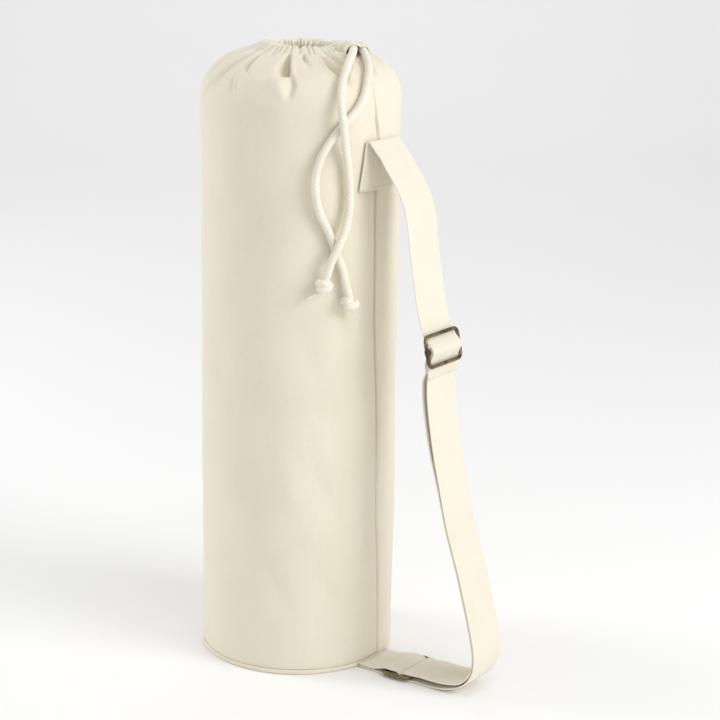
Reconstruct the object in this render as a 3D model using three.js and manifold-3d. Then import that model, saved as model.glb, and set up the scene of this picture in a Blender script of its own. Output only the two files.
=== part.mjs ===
import * as THREE from 'three';
import { mergeVertices } from 'three/addons/utils/BufferGeometryUtils.js';
import Module from 'manifold-3d';

// A drawstring yoga mat bag with a carrying strap. Millimetres, +Z up. The bag stands on z = 0
// about the origin, and its side seam and strap face +X.

// Bag
const BAG_RADIUS = 100;
const BAG_HEIGHT = 636;
const DOME_HEIGHT = 54;
const RIM_STANDS = 3;
const CANVAS = 1.5;
const GAP = 0.3;
const COLUMNS = 70;

// Round bottom with its welted edge
const BASE_BAND = 5;
const BASE_WELT = 3;
const BASE_ROUND = 1.8;
const BASE_SIDES = 48;
const FOOT_TUCK = 1.2;
const FOOT_HEIGHT = 8.6;

// Gathered hem and the cord in it
const CORD_DIAMETER = 8;
const CASING_RADIUS = 38;
const TUNNEL_ROOM_ACROSS = 3.2;
const TUNNEL_ROOM_UP = 1.8;
const HEM_LAP = 7;
const HEM_RISE = 3;
const RUFFLE = 1.2;
const RUFFLE_REACH = 0.4;
const RIM_DIP = 3;
const DIP_FACES = -53;
const DIP_REACH = 0.6;
const MOUTH_GAP = 0.8;
const MOUTH_STRAIGHT = 2.4;

// Folds of the gathered top
const FOLD_DEPTH = 8;
const FOLD_NARROWS = 0.6;
const FOLD_SWELL = 0.7;
const SEAM_GROOVE = 1.4;
const SEAM_WIDTH = 4;

// Strap webbing and its metal adjusters
const WEBBING_WIDTH = 50;
const WEBBING = 1.6;
const STRAP_TOP = 545;
const STRAP_REACH = 138;
const TAIL_LENGTH = 47;
const TAIL_LEAN = 8;
const TAIL_GAP = 0.5;
const HUG_DEPTH = 12;
const FOLD_RADIUS = 1.7;
const WIRE = 4;
const BAR_PITCH = 15;
const FRAME_CORNER = 4.5;
const FRAME_ROOM = 1;
const WIRE_SIDES = 8;
const SLIDER_OUT = 0.551;
const SLIDER_UP = 0.641;
const SLIDER_LEAN = 12.5;
const SLIDER_EASE = 2;
const SEWN_END = 12;
const TAB_LENGTH = 45.5;
const TAB_LIFT = 1;
const TAB_RAMP = 6;

// Knots at the cord's ends
const KNOT_RADIUS = 8.6;
const KNOT_LENGTH = 17;

// Height shares and azimuths, in degrees from +X, of the slanting side seam
const SEAM_COURSE = [
  { height: 0, azimuth: 4 },
  { height: 0.2, azimuth: 2 },
  { height: 0.42, azimuth: -1.5 },
  { height: 0.7, azimuth: -5 },
  { height: 0.86, azimuth: -4 },
  { height: 0.93, azimuth: -8 },
  { height: 1, azimuth: -6 },
];

// Folds: azimuth where each starts and ends, its stretch from the hem (0) over the shoulder (1)
// and on down the side, its half width in degrees and its depth as a share of FOLD_DEPTH.
// A ridge has a negative depth.
const FOLDS = [
  { start: -140, end: -133, from: 0, to: 1.1, width: 6, depth: -0.25 },
  { start: -131, end: -129, from: 0, to: 1.0, width: 5, depth: 0.35 },
  { start: -121, end: -123, from: 0, to: 1.1, width: 5, depth: -0.25 },
  { start: -104, end: -116, from: 0, to: 1.1, width: 6, depth: 0.4 },
  { start: -90, end: -92, from: 0.2, to: 0.9, width: 6, depth: 0.25 },
  { start: -66, end: -62, from: 0, to: 0.85, width: 7, depth: 0.9 },
  { start: -60, end: -60, from: 0.8, to: 1.6, width: 9, depth: -0.2 },
  { start: -50, end: -50, from: 0, to: 0.5, width: 5, depth: 0.35 },
  { start: -33, end: -20, from: 0, to: 0.95, width: 8, depth: 0.8 },
  { start: 30, end: 27, from: 0, to: 0.9, width: 7, depth: 0.5 },
  { start: 54, end: 60, from: 0, to: 1.15, width: 7, depth: 0.45 },
  { start: 82, end: 78, from: 0, to: 0.85, width: 8, depth: 0.8 },
  { start: 106, end: 112, from: 0, to: 1.1, width: 6, depth: 0.45 },
  { start: 133, end: 129, from: 0, to: 0.9, width: 8, depth: 0.7 },
  { start: 160, end: 167, from: 0, to: 1.15, width: 7, depth: 0.4 },
  { start: 190, end: 186, from: 0, to: 0.8, width: 7, depth: 0.6 },
];

// The strap's course above the slider: shares of STRAP_REACH and STRAP_TOP
const UPPER_COURSE = [
  { out: 0.072, up: 0.987 },
  { out: 0.112, up: 0.975 },
  { out: 0.156, up: 0.959 },
  { out: 0.225, up: 0.936 },
  { out: 0.286, up: 0.911 },
  { out: 0.326, up: 0.886 },
  { out: 0.35, up: 0.857 },
  { out: 0.366, up: 0.826 },
  { out: 0.39, up: 0.789 },
  { out: 0.415, up: 0.752 },
  { out: 0.441, up: 0.717 },
  { out: 0.468, up: 0.692 },
];

// Its course below the slider, with the spare room between the outer and the inner layer
// as a share of WEBBING
const LOWER_COURSE = [
  { out: 0.542, up: 0.587, spare: 2 },
  { out: 0.543, up: 0.56, spare: 2.1 },
  { out: 0.562, up: 0.519, spare: 2 },
  { out: 0.611, up: 0.45, spare: 1.3 },
  { out: 0.659, up: 0.4, spare: 0.6 },
  { out: 0.739, up: 0.316, spare: 0 },
  { out: 0.793, up: 0.275, spare: 0 },
  { out: 0.841, up: 0.239, spare: 0 },
  { out: 0.888, up: 0.198, spare: 0 },
  { out: 0.931, up: 0.16, spare: 0 },
  { out: 0.967, up: 0.125, spare: 0 },
  { out: 0.993, up: 0.092, spare: 0 },
  { out: 0.997, up: 0.07, spare: 0.1 },
  { out: 0.978, up: 0.048, spare: 0.3 },
  { out: 0.938, up: 0.031, spare: 0.6 },
  { out: 0.877, up: 0.018, spare: 1 },
  { out: 0.797, up: 0.0095, spare: 2 },
  { out: 0.703, up: 0.004, spare: 2.9 },
  { out: 0.61, up: 0, spare: 3.4 },
  { out: 0.52, up: 0, spare: 3.4 },
];

// Cord points: x, y and the drop below the top of the bag
const FRONT_MOUTH = [53, 5, 3];
const BACK_MOUTH = [53, 15.4, 4.2];
const FRONT_EXIT = [
  [36.5, -10.5, 9.8],
  [39.3, -4.6, 8.6],
  [43.4, 1.2, 6.4],
  [47.8, 4.4, 4.4],
];
const BACK_EXIT = [
  [34.6, 21.4, 7.8],
  [39.6, 17.8, 7],
  [46, 16, 5.5],
];
const FRONT_STRAND = [
  [59, 2.6, 2.5],
  [63.8, -1.4, 3.1],
  [68.2, -7.1, 4.8],
  [74.6, -19.6, 9.6],
  [79.7, -31.9, 15.9],
  [83.9, -43.3, 24.3],
  [87.6, -52.8, 35],
  [91.7, -59.3, 47.6],
  [95.7, -61.7, 61.6],
  [96.6, -59.9, 76.2],
  [95.3, -55.7, 90.3],
  [94.6, -51.4, 104.4],
  [94.9, -49, 119],
  [95.5, -48, 133.7],
  [96, -48.7, 148.5],
  [96.2, -52, 162.9],
  [95.6, -57.8, 176.5],
  [93.3, -64.3, 189.5],
  [89, -68.5, 203],
  [85.3, -70.6, 217],
];
const BACK_STRAND = [
  [59.2, 13.5, 3.6],
  [64.7, 10.5, 4],
  [70.5, 6.1, 5.8],
  [81.7, -2.9, 12.6],
  [90.8, -12.8, 21.4],
  [96.7, -23.3, 31.9],
  [98.9, -31.8, 45.2],
  [96.3, -40.8, 58.1],
  [91.1, -51.5, 68.9],
  [85.8, -60.8, 80.8],
  [80.4, -68.5, 93.7],
  [76.8, -74.2, 108.2],
  [75.7, -76.8, 123.9],
  [76.3, -76.3, 139.9],
  [78.6, -72.7, 155.3],
  [82.2, -66.5, 169.7],
  [85.3, -61, 184.4],
  [88.5, -56.2, 199.4],
  [92.3, -52.2, 214.4],
  [95.5, -50.6, 230],
];

// Shares of a knot's length and radius from the cord down to its tail, as { along, wide }
const KNOT_SHAPE = [
  { along: 0, wide: 0.46 },
  { along: 0.08, wide: 0.78 },
  { along: 0.3, wide: 1 },
  { along: 0.55, wide: 0.98 },
  { along: 0.78, wide: 0.74 },
  { along: 0.95, wide: 0.36 },
];
const FRONT_TAIL = { length: 12, start: 2.6, end: 1.2, lean: [-0.65, -0.7, -0.55] };
const BACK_TAIL = { length: 17, start: 1.5, end: 0.9, lean: [0.55, 0.75, -0.75] };

const CLOTH = { color: 0xe9e3cf, roughness: 0.95, metalness: 0 };
const TAPE = { color: 0xf1ecd9, roughness: 0.9, metalness: 0 };
const ROPE = { color: 0xf0ead6, roughness: 0.95, metalness: 0 };
const METAL = { color: 0x82764f, roughness: 0.4, metalness: 0.9 };

const radians = THREE.MathUtils.degToRad;
const lerp = THREE.MathUtils.lerp;
const clamp = THREE.MathUtils.clamp;

// Joins rings of equal length into one closed body: round a loop of rings, or capped at both ends
function loft(rings, closed = false) {
  const size = rings[0].length;
  const corners = rings.flat();
  const index = [];
  const quad = (a, b, c, d) => index.push(a, b, c, a, c, d);
  const spans = closed ? rings.length : rings.length - 1;
  for (let i = 0; i < spans; i += 1) {
    const here = i * size;
    const next = ((i + 1) % rings.length) * size;
    for (let j = 0; j < size; j += 1) {
      const side = (j + 1) % size;
      quad(here + j, here + side, next + side, next + j);
    }
  }
  if (!closed) {
    const last = (rings.length - 1) * size;
    for (let k = 0; k < size / 2 - 1; k += 1) {
      const far = size - 1 - k;
      quad(k, far, far - 1, k + 1);
      quad(last + k, last + k + 1, last + far - 1, last + far);
    }
  }
  const geometry = new THREE.BufferGeometry();
  const flat = corners.flatMap((corner) => corner.toArray());
  geometry.setAttribute('position', new THREE.Float32BufferAttribute(flat, 3));
  geometry.setIndex(index);
  return geometry;
}

function part(name, geometry, finish) {
  const mesh = new THREE.Mesh(geometry, new THREE.MeshStandardMaterial(finish));
  mesh.name = name;
  return mesh;
}

// Azimuth of the side seam at a height
function seamAzimuth(height) {
  const share = clamp(height / BAG_HEIGHT, 0, 1);
  const next = Math.max(1, SEAM_COURSE.findIndex((row) => row.height >= share));
  const low = SEAM_COURSE[next - 1];
  const high = SEAM_COURSE[next];
  return lerp(low.azimuth, high.azimuth, (share - low.height) / (high.height - low.height));
}

// How far the rim sinks on its front side
function rimDip(azimuth) {
  const facing = (1 + Math.cos(radians(azimuth - DIP_FACES))) / 2;
  return RIM_DIP * facing * facing;
}

function turnBetween(a, b) {
  return ((a - b + 540) % 360) - 180;
}

// Depth of all folds at an azimuth and a place between the hem (0) and the shoulder (1)
function foldDepth(azimuth, place) {
  let depth = 0;
  for (const fold of FOLDS) {
    const share = (place - fold.from) / (fold.to - fold.from);
    if (share <= 0 || share >= 1) continue;
    const centre = lerp(fold.start, fold.end, share);
    const width = fold.width * lerp(FOLD_NARROWS, 1, share);
    const aside = turnBetween(azimuth + 720, centre + 720) / width;
    const swell = Math.sin(Math.PI * share ** FOLD_SWELL);
    depth += fold.depth * FOLD_DEPTH * swell * Math.exp(-2 * aside * aside);
  }
  return depth;
}

// Profile rows of the canvas, as { r, z, place, lean, ruffle }: lean is the angle of the
// outward normal and ruffle the share of the hem's pleats
const sideFoot = BASE_BAND + GAP;
const domeFoot = BAG_HEIGHT - DOME_HEIGHT;
const tunnelAcross = CORD_DIAMETER / 2 + TUNNEL_ROOM_ACROSS;
const tunnelUp = CORD_DIAMETER / 2 + TUNNEL_ROOM_UP;
const casingHeight = BAG_HEIGHT - tunnelUp - CANVAS;
const neckRadius = CASING_RADIUS - tunnelAcross - CANVAS;
const DOME_ROUND = 0.976;
const SIDE_SHARES = [0.22, 0.45, 0.7, 0.92, 1];
const DOME_ANGLES = [10, 20, 30, 40, 50, 59, 67, 73.5];
const OUTER_ANGLES = [50, 90, 130, 180, 230, 270, 305];
const INNER_ANGLES = [305, 250, 180, 120, 60];
const RUFFLE_SHARES = { dome: 0.45, edge: 0.5, rim: 1, hem: 0.4 };

function sideRow(z, inset) {
  const tuck = z === sideFoot ? FOOT_TUCK : 0;
  const place = 1 + (domeFoot - z) / DOME_HEIGHT;
  return { r: BAG_RADIUS - tuck - inset, z, place, lean: 0, ruffle: 0 };
}

function domeRow(angle, inset) {
  const turn = radians(angle);
  const across = BAG_RADIUS - neckRadius - inset;
  const up = DOME_HEIGHT - RIM_STANDS - inset;
  const r = neckRadius + across * Math.cos(turn) ** DOME_ROUND;
  const z = domeFoot + up * Math.sin(turn) ** DOME_ROUND;
  const place = 1 - angle / DOME_ANGLES.at(-1);
  const ruffle = RUFFLE_SHARES.dome * Math.max(0, 1 - place / RUFFLE_REACH);
  return { r, z, place, lean: turn, ruffle };
}

function casingRow(angle, inset) {
  const turn = radians(angle);
  const r = CASING_RADIUS + (tunnelAcross + CANVAS - inset) * Math.cos(turn);
  const z = casingHeight + (tunnelUp + CANVAS - inset) * Math.sin(turn);
  const ruffle = angle < 90 || angle > 240 ? RUFFLE_SHARES.edge : RUFFLE_SHARES.rim;
  return { r, z, place: 0, lean: turn, ruffle };
}

// The hem's inner layer runs from under the cord back to the canvas
function hemRow(share, inset) {
  const start = casingRow(INNER_ANGLES[0], inset);
  const r = start.r + HEM_LAP * share;
  const z = start.z + HEM_RISE * share * share;
  return { r, z, place: 0, lean: 0, ruffle: RUFFLE_SHARES.hem };
}

function canvasRows() {
  const heights = SIDE_SHARES.map((share) => lerp(sideFoot, domeFoot, share));
  const outerSide = [sideFoot, sideFoot + FOOT_HEIGHT, ...heights].map((z) => sideRow(z, 0));
  const innerSide = [sideFoot, ...heights].map((z) => sideRow(z, CANVAS));
  const outerDome = DOME_ANGLES.map((angle) => domeRow(angle, 0));
  const innerDome = DOME_ANGLES.map((angle) => domeRow(angle, CANVAS));
  const outerCasing = OUTER_ANGLES.map((angle) => casingRow(angle, 0));
  const innerCasing = INNER_ANGLES.map((angle) => casingRow(angle, CANVAS));
  const hem = [hemRow(0.5, 0), hemRow(1, 0), hemRow(1, CANVAS), hemRow(0.5, CANVAS)];
  return [
    ...outerSide,
    ...outerDome,
    ...outerCasing,
    ...hem,
    ...innerCasing,
    ...innerDome.reverse(),
    ...innerSide.reverse(),
  ];
}

function canvasRing(row) {
  return Array.from({ length: COLUMNS }, (_, column) => {
    const azimuth = (360 * column) / COLUMNS + seamAzimuth(row.z);
    const pleat = (column % 2 ? 1 : -1) * RUFFLE * row.ruffle;
    const seam = Math.exp(-((turnBetween(azimuth + 720, seamAzimuth(row.z) + 720) / SEAM_WIDTH) ** 2));
    const inward = foldDepth(azimuth, row.place) + (row.place > 0 ? SEAM_GROOVE * seam : 0);
    const r = row.r - inward * Math.cos(row.lean) - pleat;
    const sink = rimDip(azimuth) * clamp(1 - row.place / DIP_REACH, 0, 1);
    const rise = row.place > 0 ? inward * Math.sin(row.lean) : 0;
    const turn = radians(azimuth);
    return new THREE.Vector3(r * Math.cos(turn), r * Math.sin(turn), row.z - rise - sink);
  });
}

// A round tube along a curve
function tube(curve, radius, sides, steps) {
  const corners = Array.from({ length: sides }, (_, i) => {
    const turn = (2 * Math.PI * (i + 0.5)) / sides;
    return new THREE.Vector2(radius * Math.cos(turn), radius * Math.sin(turn));
  });
  const shape = new THREE.Shape(corners);
  return new THREE.ExtrudeGeometry(shape, { steps, bevelEnabled: false, extrudePath: curve });
}

const cordPoint = ([x, y, drop]) => new THREE.Vector3(x, y, BAG_HEIGHT - drop);
const frontMouth = cordPoint(FRONT_MOUTH);
const backMouth = cordPoint(BACK_MOUTH);
const frontLead = cordPoint(FRONT_STRAND[0]).sub(cordPoint(FRONT_EXIT.at(-1))).normalize();
const backLead = cordPoint(BACK_STRAND[0]).sub(cordPoint(BACK_EXIT.at(-1))).normalize();

function cordCurve(points) {
  return new THREE.CatmullRomCurve3(points, false, 'centripetal');
}

// The free end's points: straight out of the mouth, starting a gap beyond the held cord
function strandPoints(mouth, lead, strand) {
  const straight = [GAP, MOUTH_STRAIGHT].map((step) => mouth.clone().addScaledVector(lead, step));
  return [...straight, ...strand.map(cordPoint)];
}

function exitPoints(mouth, lead, exit) {
  return [...exit.map(cordPoint), mouth.clone().addScaledVector(lead, -MOUTH_STRAIGHT), mouth];
}

// The cord inside the hem: in at the front mouth, once round the neck, and out at the back one
function heldCord() {
  const round = [];
  for (let azimuth = -30; azimuth >= -310; azimuth -= 20) {
    const turn = radians(azimuth);
    const z = casingHeight - rimDip(azimuth);
    round.push(new THREE.Vector3(CASING_RADIUS * Math.cos(turn), CASING_RADIUS * Math.sin(turn), z));
  }
  const front = exitPoints(frontMouth, frontLead, FRONT_EXIT).reverse();
  const back = exitPoints(backMouth, backLead, BACK_EXIT);
  const curve = cordCurve([...front, ...round, ...back]);
  return tube(curve, CORD_DIAMETER / 2, 8, 36);
}

// Where a strand passes out through the canvas
function mouthCutter(exit, mouth, strand) {
  const points = [...exit.map(cordPoint), mouth, ...strand.slice(0, 3).map(cordPoint)];
  return tube(cordCurve(points), CORD_DIAMETER / 2 + MOUTH_GAP, 10, 12);
}

function solid(wasm, geometry) {
  const bare = geometry.clone();
  bare.deleteAttribute('normal');
  bare.deleteAttribute('uv');
  const merged = mergeVertices(bare, 1e-4);
  const vertProperties = new Float32Array(merged.attributes.position.array);
  const triVerts = new Uint32Array(merged.index.array);
  return new wasm.Manifold(new wasm.Mesh({ numProp: 3, vertProperties, triVerts }));
}

function surface(manifold) {
  const mesh = manifold.getMesh();
  const geometry = new THREE.BufferGeometry();
  geometry.setAttribute('position', new THREE.Float32BufferAttribute(mesh.vertProperties, 3));
  geometry.setIndex(Array.from(mesh.triVerts));
  return geometry;
}

function bodyPanel(wasm) {
  const shell = solid(wasm, loft(canvasRows().map(canvasRing), true));
  const front = solid(wasm, mouthCutter(FRONT_EXIT, frontMouth, FRONT_STRAND));
  const back = solid(wasm, mouthCutter(BACK_EXIT, backMouth, BACK_STRAND));
  return surface(shell.subtract(front).subtract(back));
}

// The bottom: a flat disc whose edge turns up into the welt
function basePanel() {
  const inside = BAG_RADIUS - BASE_WELT;
  const profile = [
    [0, 0],
    [BAG_RADIUS - BASE_ROUND, 0],
    [BAG_RADIUS, BASE_ROUND],
    [BAG_RADIUS, BASE_BAND - BASE_ROUND / 2],
    [BAG_RADIUS - BASE_ROUND / 2, BASE_BAND],
    [inside, BASE_BAND],
    [inside, CANVAS],
    [0, CANVAS],
  ].map(([r, z]) => new THREE.Vector2(r, z));
  const geometry = new THREE.LatheGeometry(profile, BASE_SIDES);
  return geometry.rotateX(Math.PI / 2);
}

const onPlane = (x, z) => new THREE.Vector3(x, 0, z);

function arc(centre, radius, from, to, steps) {
  return Array.from({ length: steps + 1 }, (_, i) => {
    const turn = radians(lerp(from, to, i / steps));
    return onPlane(centre.x + radius * Math.cos(turn), centre.z + radius * Math.sin(turn));
  });
}

function smooth(knots, steps) {
  return cordCurve(knots).getPoints((knots.length - 1) * steps);
}

// Unit vectors along a route in the XZ plane and square to it
function headings(route) {
  return route.map((_, i) => {
    const before = route[Math.max(i - 1, 0)];
    const after = route[Math.min(i + 1, route.length - 1)];
    const along = after.clone().sub(before).normalize();
    return { along, square: onPlane(-along.z, along.x) };
  });
}

// Near the bag the webbing takes the roundness of its side
function layOnBag(point, across) {
  const hug = clamp(1 - (point.x - BAG_RADIUS - WEBBING) / HUG_DEPTH, 0, 1);
  const round = point.x - Math.sqrt(point.x ** 2 - across ** 2);
  return new THREE.Vector3(point.x - hug * round, across, point.z);
}

// Flat webbing along a route, with its own sideways shift at each point
function webbing(route, shifts) {
  const shares = [-0.5, -0.25, 0, 0.25, 0.5];
  const square = headings(route).map((heading) => heading.square);
  const rings = route.map((point, i) => {
    const outer = point.clone().addScaledVector(square[i], WEBBING / 2);
    const inner = point.clone().addScaledVector(square[i], -WEBBING / 2);
    const shift = shifts ? shifts[i] : 0;
    const row = (middle, share) => layOnBag(middle, share * WEBBING_WIDTH + shift);
    return [
      ...shares.map((share) => row(inner, share)),
      ...shares.map((share) => row(outer, -share)),
    ];
  });
  return loft(rings);
}

// Webbing lies this far from a bar's centre, and this far from the webbing beside it
const overBar = WIRE / 2 + GAP + WEBBING / 2;
const nextLayer = WEBBING + GAP;
const floorLay = WEBBING / 2 + GAP;

const sliderCentre = onPlane(BAG_RADIUS + SLIDER_OUT * STRAP_REACH, SLIDER_UP * STRAP_TOP);
const sliderDown = onPlane(Math.sin(radians(SLIDER_LEAN)), -Math.cos(radians(SLIDER_LEAN)));
const sliderOut = onPlane(-sliderDown.z, sliderDown.x);
const buckleCentre = onPlane(BAG_RADIUS + TAB_LENGTH, overBar + floorLay);
const farBar = onPlane(buckleCentre.x + BAR_PITCH, buckleCentre.z);
const nearBar = onPlane(buckleCentre.x - BAR_PITCH, buckleCentre.z);

function nearSlider(down, out) {
  return sliderCentre.clone().addScaledVector(sliderDown, down).addScaledVector(sliderOut, out);
}

// Points round one of the slider's bars, at angles from straight out, growing downwards
function roundBar(bar, radius, from, to, steps) {
  return Array.from({ length: steps + 1 }, (_, i) => {
    const turn = radians(lerp(from, to, i / steps));
    return nearSlider(bar * BAR_PITCH + radius * Math.sin(turn), radius * Math.cos(turn));
  });
}

function coursePoint(row) {
  const z = Math.max(row.up * STRAP_TOP, floorLay);
  return onPlane(BAG_RADIUS + row.out * STRAP_REACH, z);
}

// One length of webbing: sewn tail, fold, slider, down to the floor, loosely round the lower
// buckle's far bar, back up inside the outer layer, and round the slider's centre bar
function strap() {
  const tailX = BAG_RADIUS + TAIL_GAP + WEBBING / 2;
  const tail = [0, 0.5, 1].map((share) => onPlane(tailX, STRAP_TOP - TAIL_LENGTH * (1 - share)));
  const fold = arc(onPlane(tailX + FOLD_RADIUS, STRAP_TOP), FOLD_RADIUS, 180, 35, 6);

  const behindBar = overBar + GAP;
  const weave = THREE.MathUtils.radToDeg(Math.asin((behindBar + overBar + nextLayer) / BAR_PITCH));
  const wave = [
    ...roundBar(-1, behindBar, 180, 180 - weave, 2),
    ...roundBar(0, overBar + nextLayer, -weave, weave, 4),
    ...roundBar(1, behindBar, 180 + weave, 180, 2),
  ];
  const upper = smooth([fold.at(-1), ...UPPER_COURSE.map(coursePoint), wave[0]], 1).slice(1, -1);
  const lowerKnots = [wave.at(-1), ...LOWER_COURSE.map(coursePoint), onPlane(farBar.x, floorLay)];
  const lower = smooth(lowerKnots, 1).slice(1);

  const turnRadius = overBar - GAP / 2;
  const turnX = buckleCentre.x + overBar + nextLayer + turnRadius;
  const turnZ = floorLay + turnRadius;
  const turn = arc(onPlane(turnX, turnZ), turnRadius, -90, -270, 8);

  const ways = headings(lowerKnots);
  const back = LOWER_COURSE.map((row, i) => {
    const apart = nextLayer + row.spare * WEBBING;
    return lowerKnots[i + 1].clone().addScaledVector(ways[i + 1].square, -apart);
  }).reverse();
  const sewn = behindBar + 2 * nextLayer;
  const inner = [
    onPlane(farBar.x, farBar.z + overBar),
    ...back,
    nearSlider(BAR_PITCH + 2 * SLIDER_EASE, -sewn),
    nearSlider(BAR_PITCH - SLIDER_EASE, -sewn),
    nearSlider(overBar + SLIDER_EASE, -overBar - nextLayer / 2),
  ];
  const end = [
    ...roundBar(0, overBar, -180, weave, 10),
    ...roundBar(1, behindBar + nextLayer, 180 + weave, 180, 2),
    nearSlider(BAR_PITCH + SEWN_END, -behindBar - nextLayer),
  ];
  const route = [...tail.slice(0, -1), ...fold, ...upper, ...wave, ...lower, ...turn, ...inner, ...end];
  const shifts = route.map((_, i) => (i < 3 ? -TAIL_LEAN * (1 - i / 2) : 0));
  return webbing(route, shifts);
}

// The tab: two plies from the base seam, round the lower buckle's centre bar
function strapTab() {
  const root = BAG_RADIUS + 2 * GAP;
  const upper = smooth(
    [
      onPlane(root, floorLay + nextLayer + TAB_LIFT),
      onPlane((root + nearBar.x) / 2, floorLay + nextLayer + TAB_LIFT / 2),
      onPlane(nearBar.x - TAB_RAMP, nearBar.z + overBar / 2),
      onPlane(nearBar.x, nearBar.z + overBar),
      onPlane((nearBar.x + buckleCentre.x) / 2, buckleCentre.z + overBar),
    ],
    2,
  );
  const wrap = arc(buckleCentre, overBar, 90, -90, 8);
  const under = smooth(
    [
      onPlane(nearBar.x, floorLay),
      onPlane((root + nearBar.x) / 2, floorLay),
      onPlane(root, floorLay + TAB_LIFT / 2),
    ],
    2,
  );
  return webbing([...upper, ...wrap, ...under]);
}

// A three-bar adjuster lying in its own XY plane: a round wire frame and a centre bar
function adjuster(frameName, barName) {
  const halfLength = BAR_PITCH;
  const halfWidth = WEBBING_WIDTH / 2 + FRAME_ROOM + WIRE / 2;
  const corners = [
    [halfLength, halfWidth],
    [-halfLength, halfWidth],
    [-halfLength, -halfWidth],
    [halfLength, -halfWidth],
  ];
  const rings = corners.flatMap(([x, y], corner) =>
    [0, 30, 60, 90].map((angle) => {
      const turn = radians(corner * 90 + angle);
      const outward = new THREE.Vector3(Math.cos(turn), Math.sin(turn), 0);
      const middle = new THREE.Vector3(
        x - Math.sign(x) * FRAME_CORNER,
        y - Math.sign(y) * FRAME_CORNER,
        0,
      ).addScaledVector(outward, FRAME_CORNER);
      return Array.from({ length: WIRE_SIDES }, (_, i) => {
        const roll = (-2 * Math.PI * i) / WIRE_SIDES;
        const ring = middle.clone().addScaledVector(outward, (WIRE / 2) * Math.cos(roll));
        return ring.setZ((WIRE / 2) * Math.sin(roll));
      });
    }),
  );
  const group = new THREE.Group();
  group.add(part(frameName, loft(rings, true), METAL));
  const barLength = 2 * (halfWidth - WIRE / 2 - GAP);
  group.add(part(barName, new THREE.CylinderGeometry(WIRE / 2, WIRE / 2, barLength, WIRE_SIDES), METAL));
  return group;
}

// An overhand knot as one lump with its tail, hanging from the end of a strand
function knot(strand, tail) {
  const end = strand.at(-1);
  const along = end.clone().sub(strand.at(-2)).normalize();
  const start = end.clone().addScaledVector(along, GAP);
  const side = new THREE.Vector3(0, 0, 1).cross(along).normalize();
  const front = along.clone().cross(side);
  const lean = new THREE.Vector3(...tail.lean).normalize();
  const ring = (middle, radius, lobe) =>
    Array.from({ length: 10 }, (_, i) => {
      const turn = (2 * Math.PI * i) / 10;
      const wide = radius * (1 + lobe * Math.cos(3 * turn));
      return middle
        .clone()
        .addScaledVector(side, wide * Math.cos(turn))
        .addScaledVector(front, wide * Math.sin(turn));
    });
  const lump = KNOT_SHAPE.map(({ along: share, wide }) => {
    const middle = start.clone().addScaledVector(along, share * KNOT_LENGTH);
    return ring(middle, wide * KNOT_RADIUS, share > 0 ? 0.06 : 0);
  });
  const neck = start.clone().addScaledVector(along, KNOT_LENGTH);
  const tip = neck.clone().addScaledVector(lean, tail.length);
  return loft([...lump, ring(neck, tail.start, 0), ring(tip, tail.end, 0)]);
}

const wasm = await Module();
wasm.setup();

const bag = new THREE.Group();
bag.add(part('body_panel', bodyPanel(wasm), CLOTH));
bag.add(part('base_panel', basePanel(), CLOTH));
bag.add(part('strap', strap(), TAPE));
bag.add(part('strap_tab', strapTab(), TAPE));

const slider = adjuster('slider_frame', 'slider_bar');
slider.position.copy(sliderCentre);
slider.rotation.y = radians(90 - SLIDER_LEAN);
bag.add(slider);
const buckle = adjuster('lower_buckle_frame', 'lower_buckle_bar');
buckle.position.copy(buckleCentre);
bag.add(buckle);

const frontPoints = strandPoints(frontMouth, frontLead, FRONT_STRAND);
const backPoints = strandPoints(backMouth, backLead, BACK_STRAND);
bag.add(part('drawcord_loop', heldCord(), ROPE));
bag.add(part('drawcord_front', tube(cordCurve(frontPoints), CORD_DIAMETER / 2, 8, 20), ROPE));
bag.add(part('drawcord_back', tube(cordCurve(backPoints), CORD_DIAMETER / 2, 8, 22), ROPE));
bag.add(part('knot_front', knot(frontPoints, FRONT_TAIL), ROPE));
bag.add(part('knot_back', knot(backPoints, BACK_TAIL), ROPE));

export default bag;
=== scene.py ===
"""The look of a drawstring yoga mat bag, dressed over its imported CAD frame.

Lengths are in millimetres until a mesh is made. The drawcord's points, the camera and the lamps
are in metres.
"""
import math

import bpy
import numpy as np
from mathutils import Matrix, Vector


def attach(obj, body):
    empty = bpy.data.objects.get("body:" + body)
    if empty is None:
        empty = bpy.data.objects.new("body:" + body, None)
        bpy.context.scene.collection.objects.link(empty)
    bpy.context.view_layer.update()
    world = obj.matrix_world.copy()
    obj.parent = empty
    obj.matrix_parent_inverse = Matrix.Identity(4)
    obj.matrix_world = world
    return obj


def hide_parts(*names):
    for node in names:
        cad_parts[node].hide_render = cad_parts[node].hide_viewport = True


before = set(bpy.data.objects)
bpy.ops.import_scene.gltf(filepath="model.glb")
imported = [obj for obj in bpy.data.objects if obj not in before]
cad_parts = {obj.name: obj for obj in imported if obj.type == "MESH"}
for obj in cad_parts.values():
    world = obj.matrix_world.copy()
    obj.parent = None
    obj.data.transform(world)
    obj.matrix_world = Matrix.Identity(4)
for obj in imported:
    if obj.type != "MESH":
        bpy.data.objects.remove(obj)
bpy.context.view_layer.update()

MM = 0.001
rng = np.random.default_rng(7)

# Sizes of the CAD part

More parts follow.
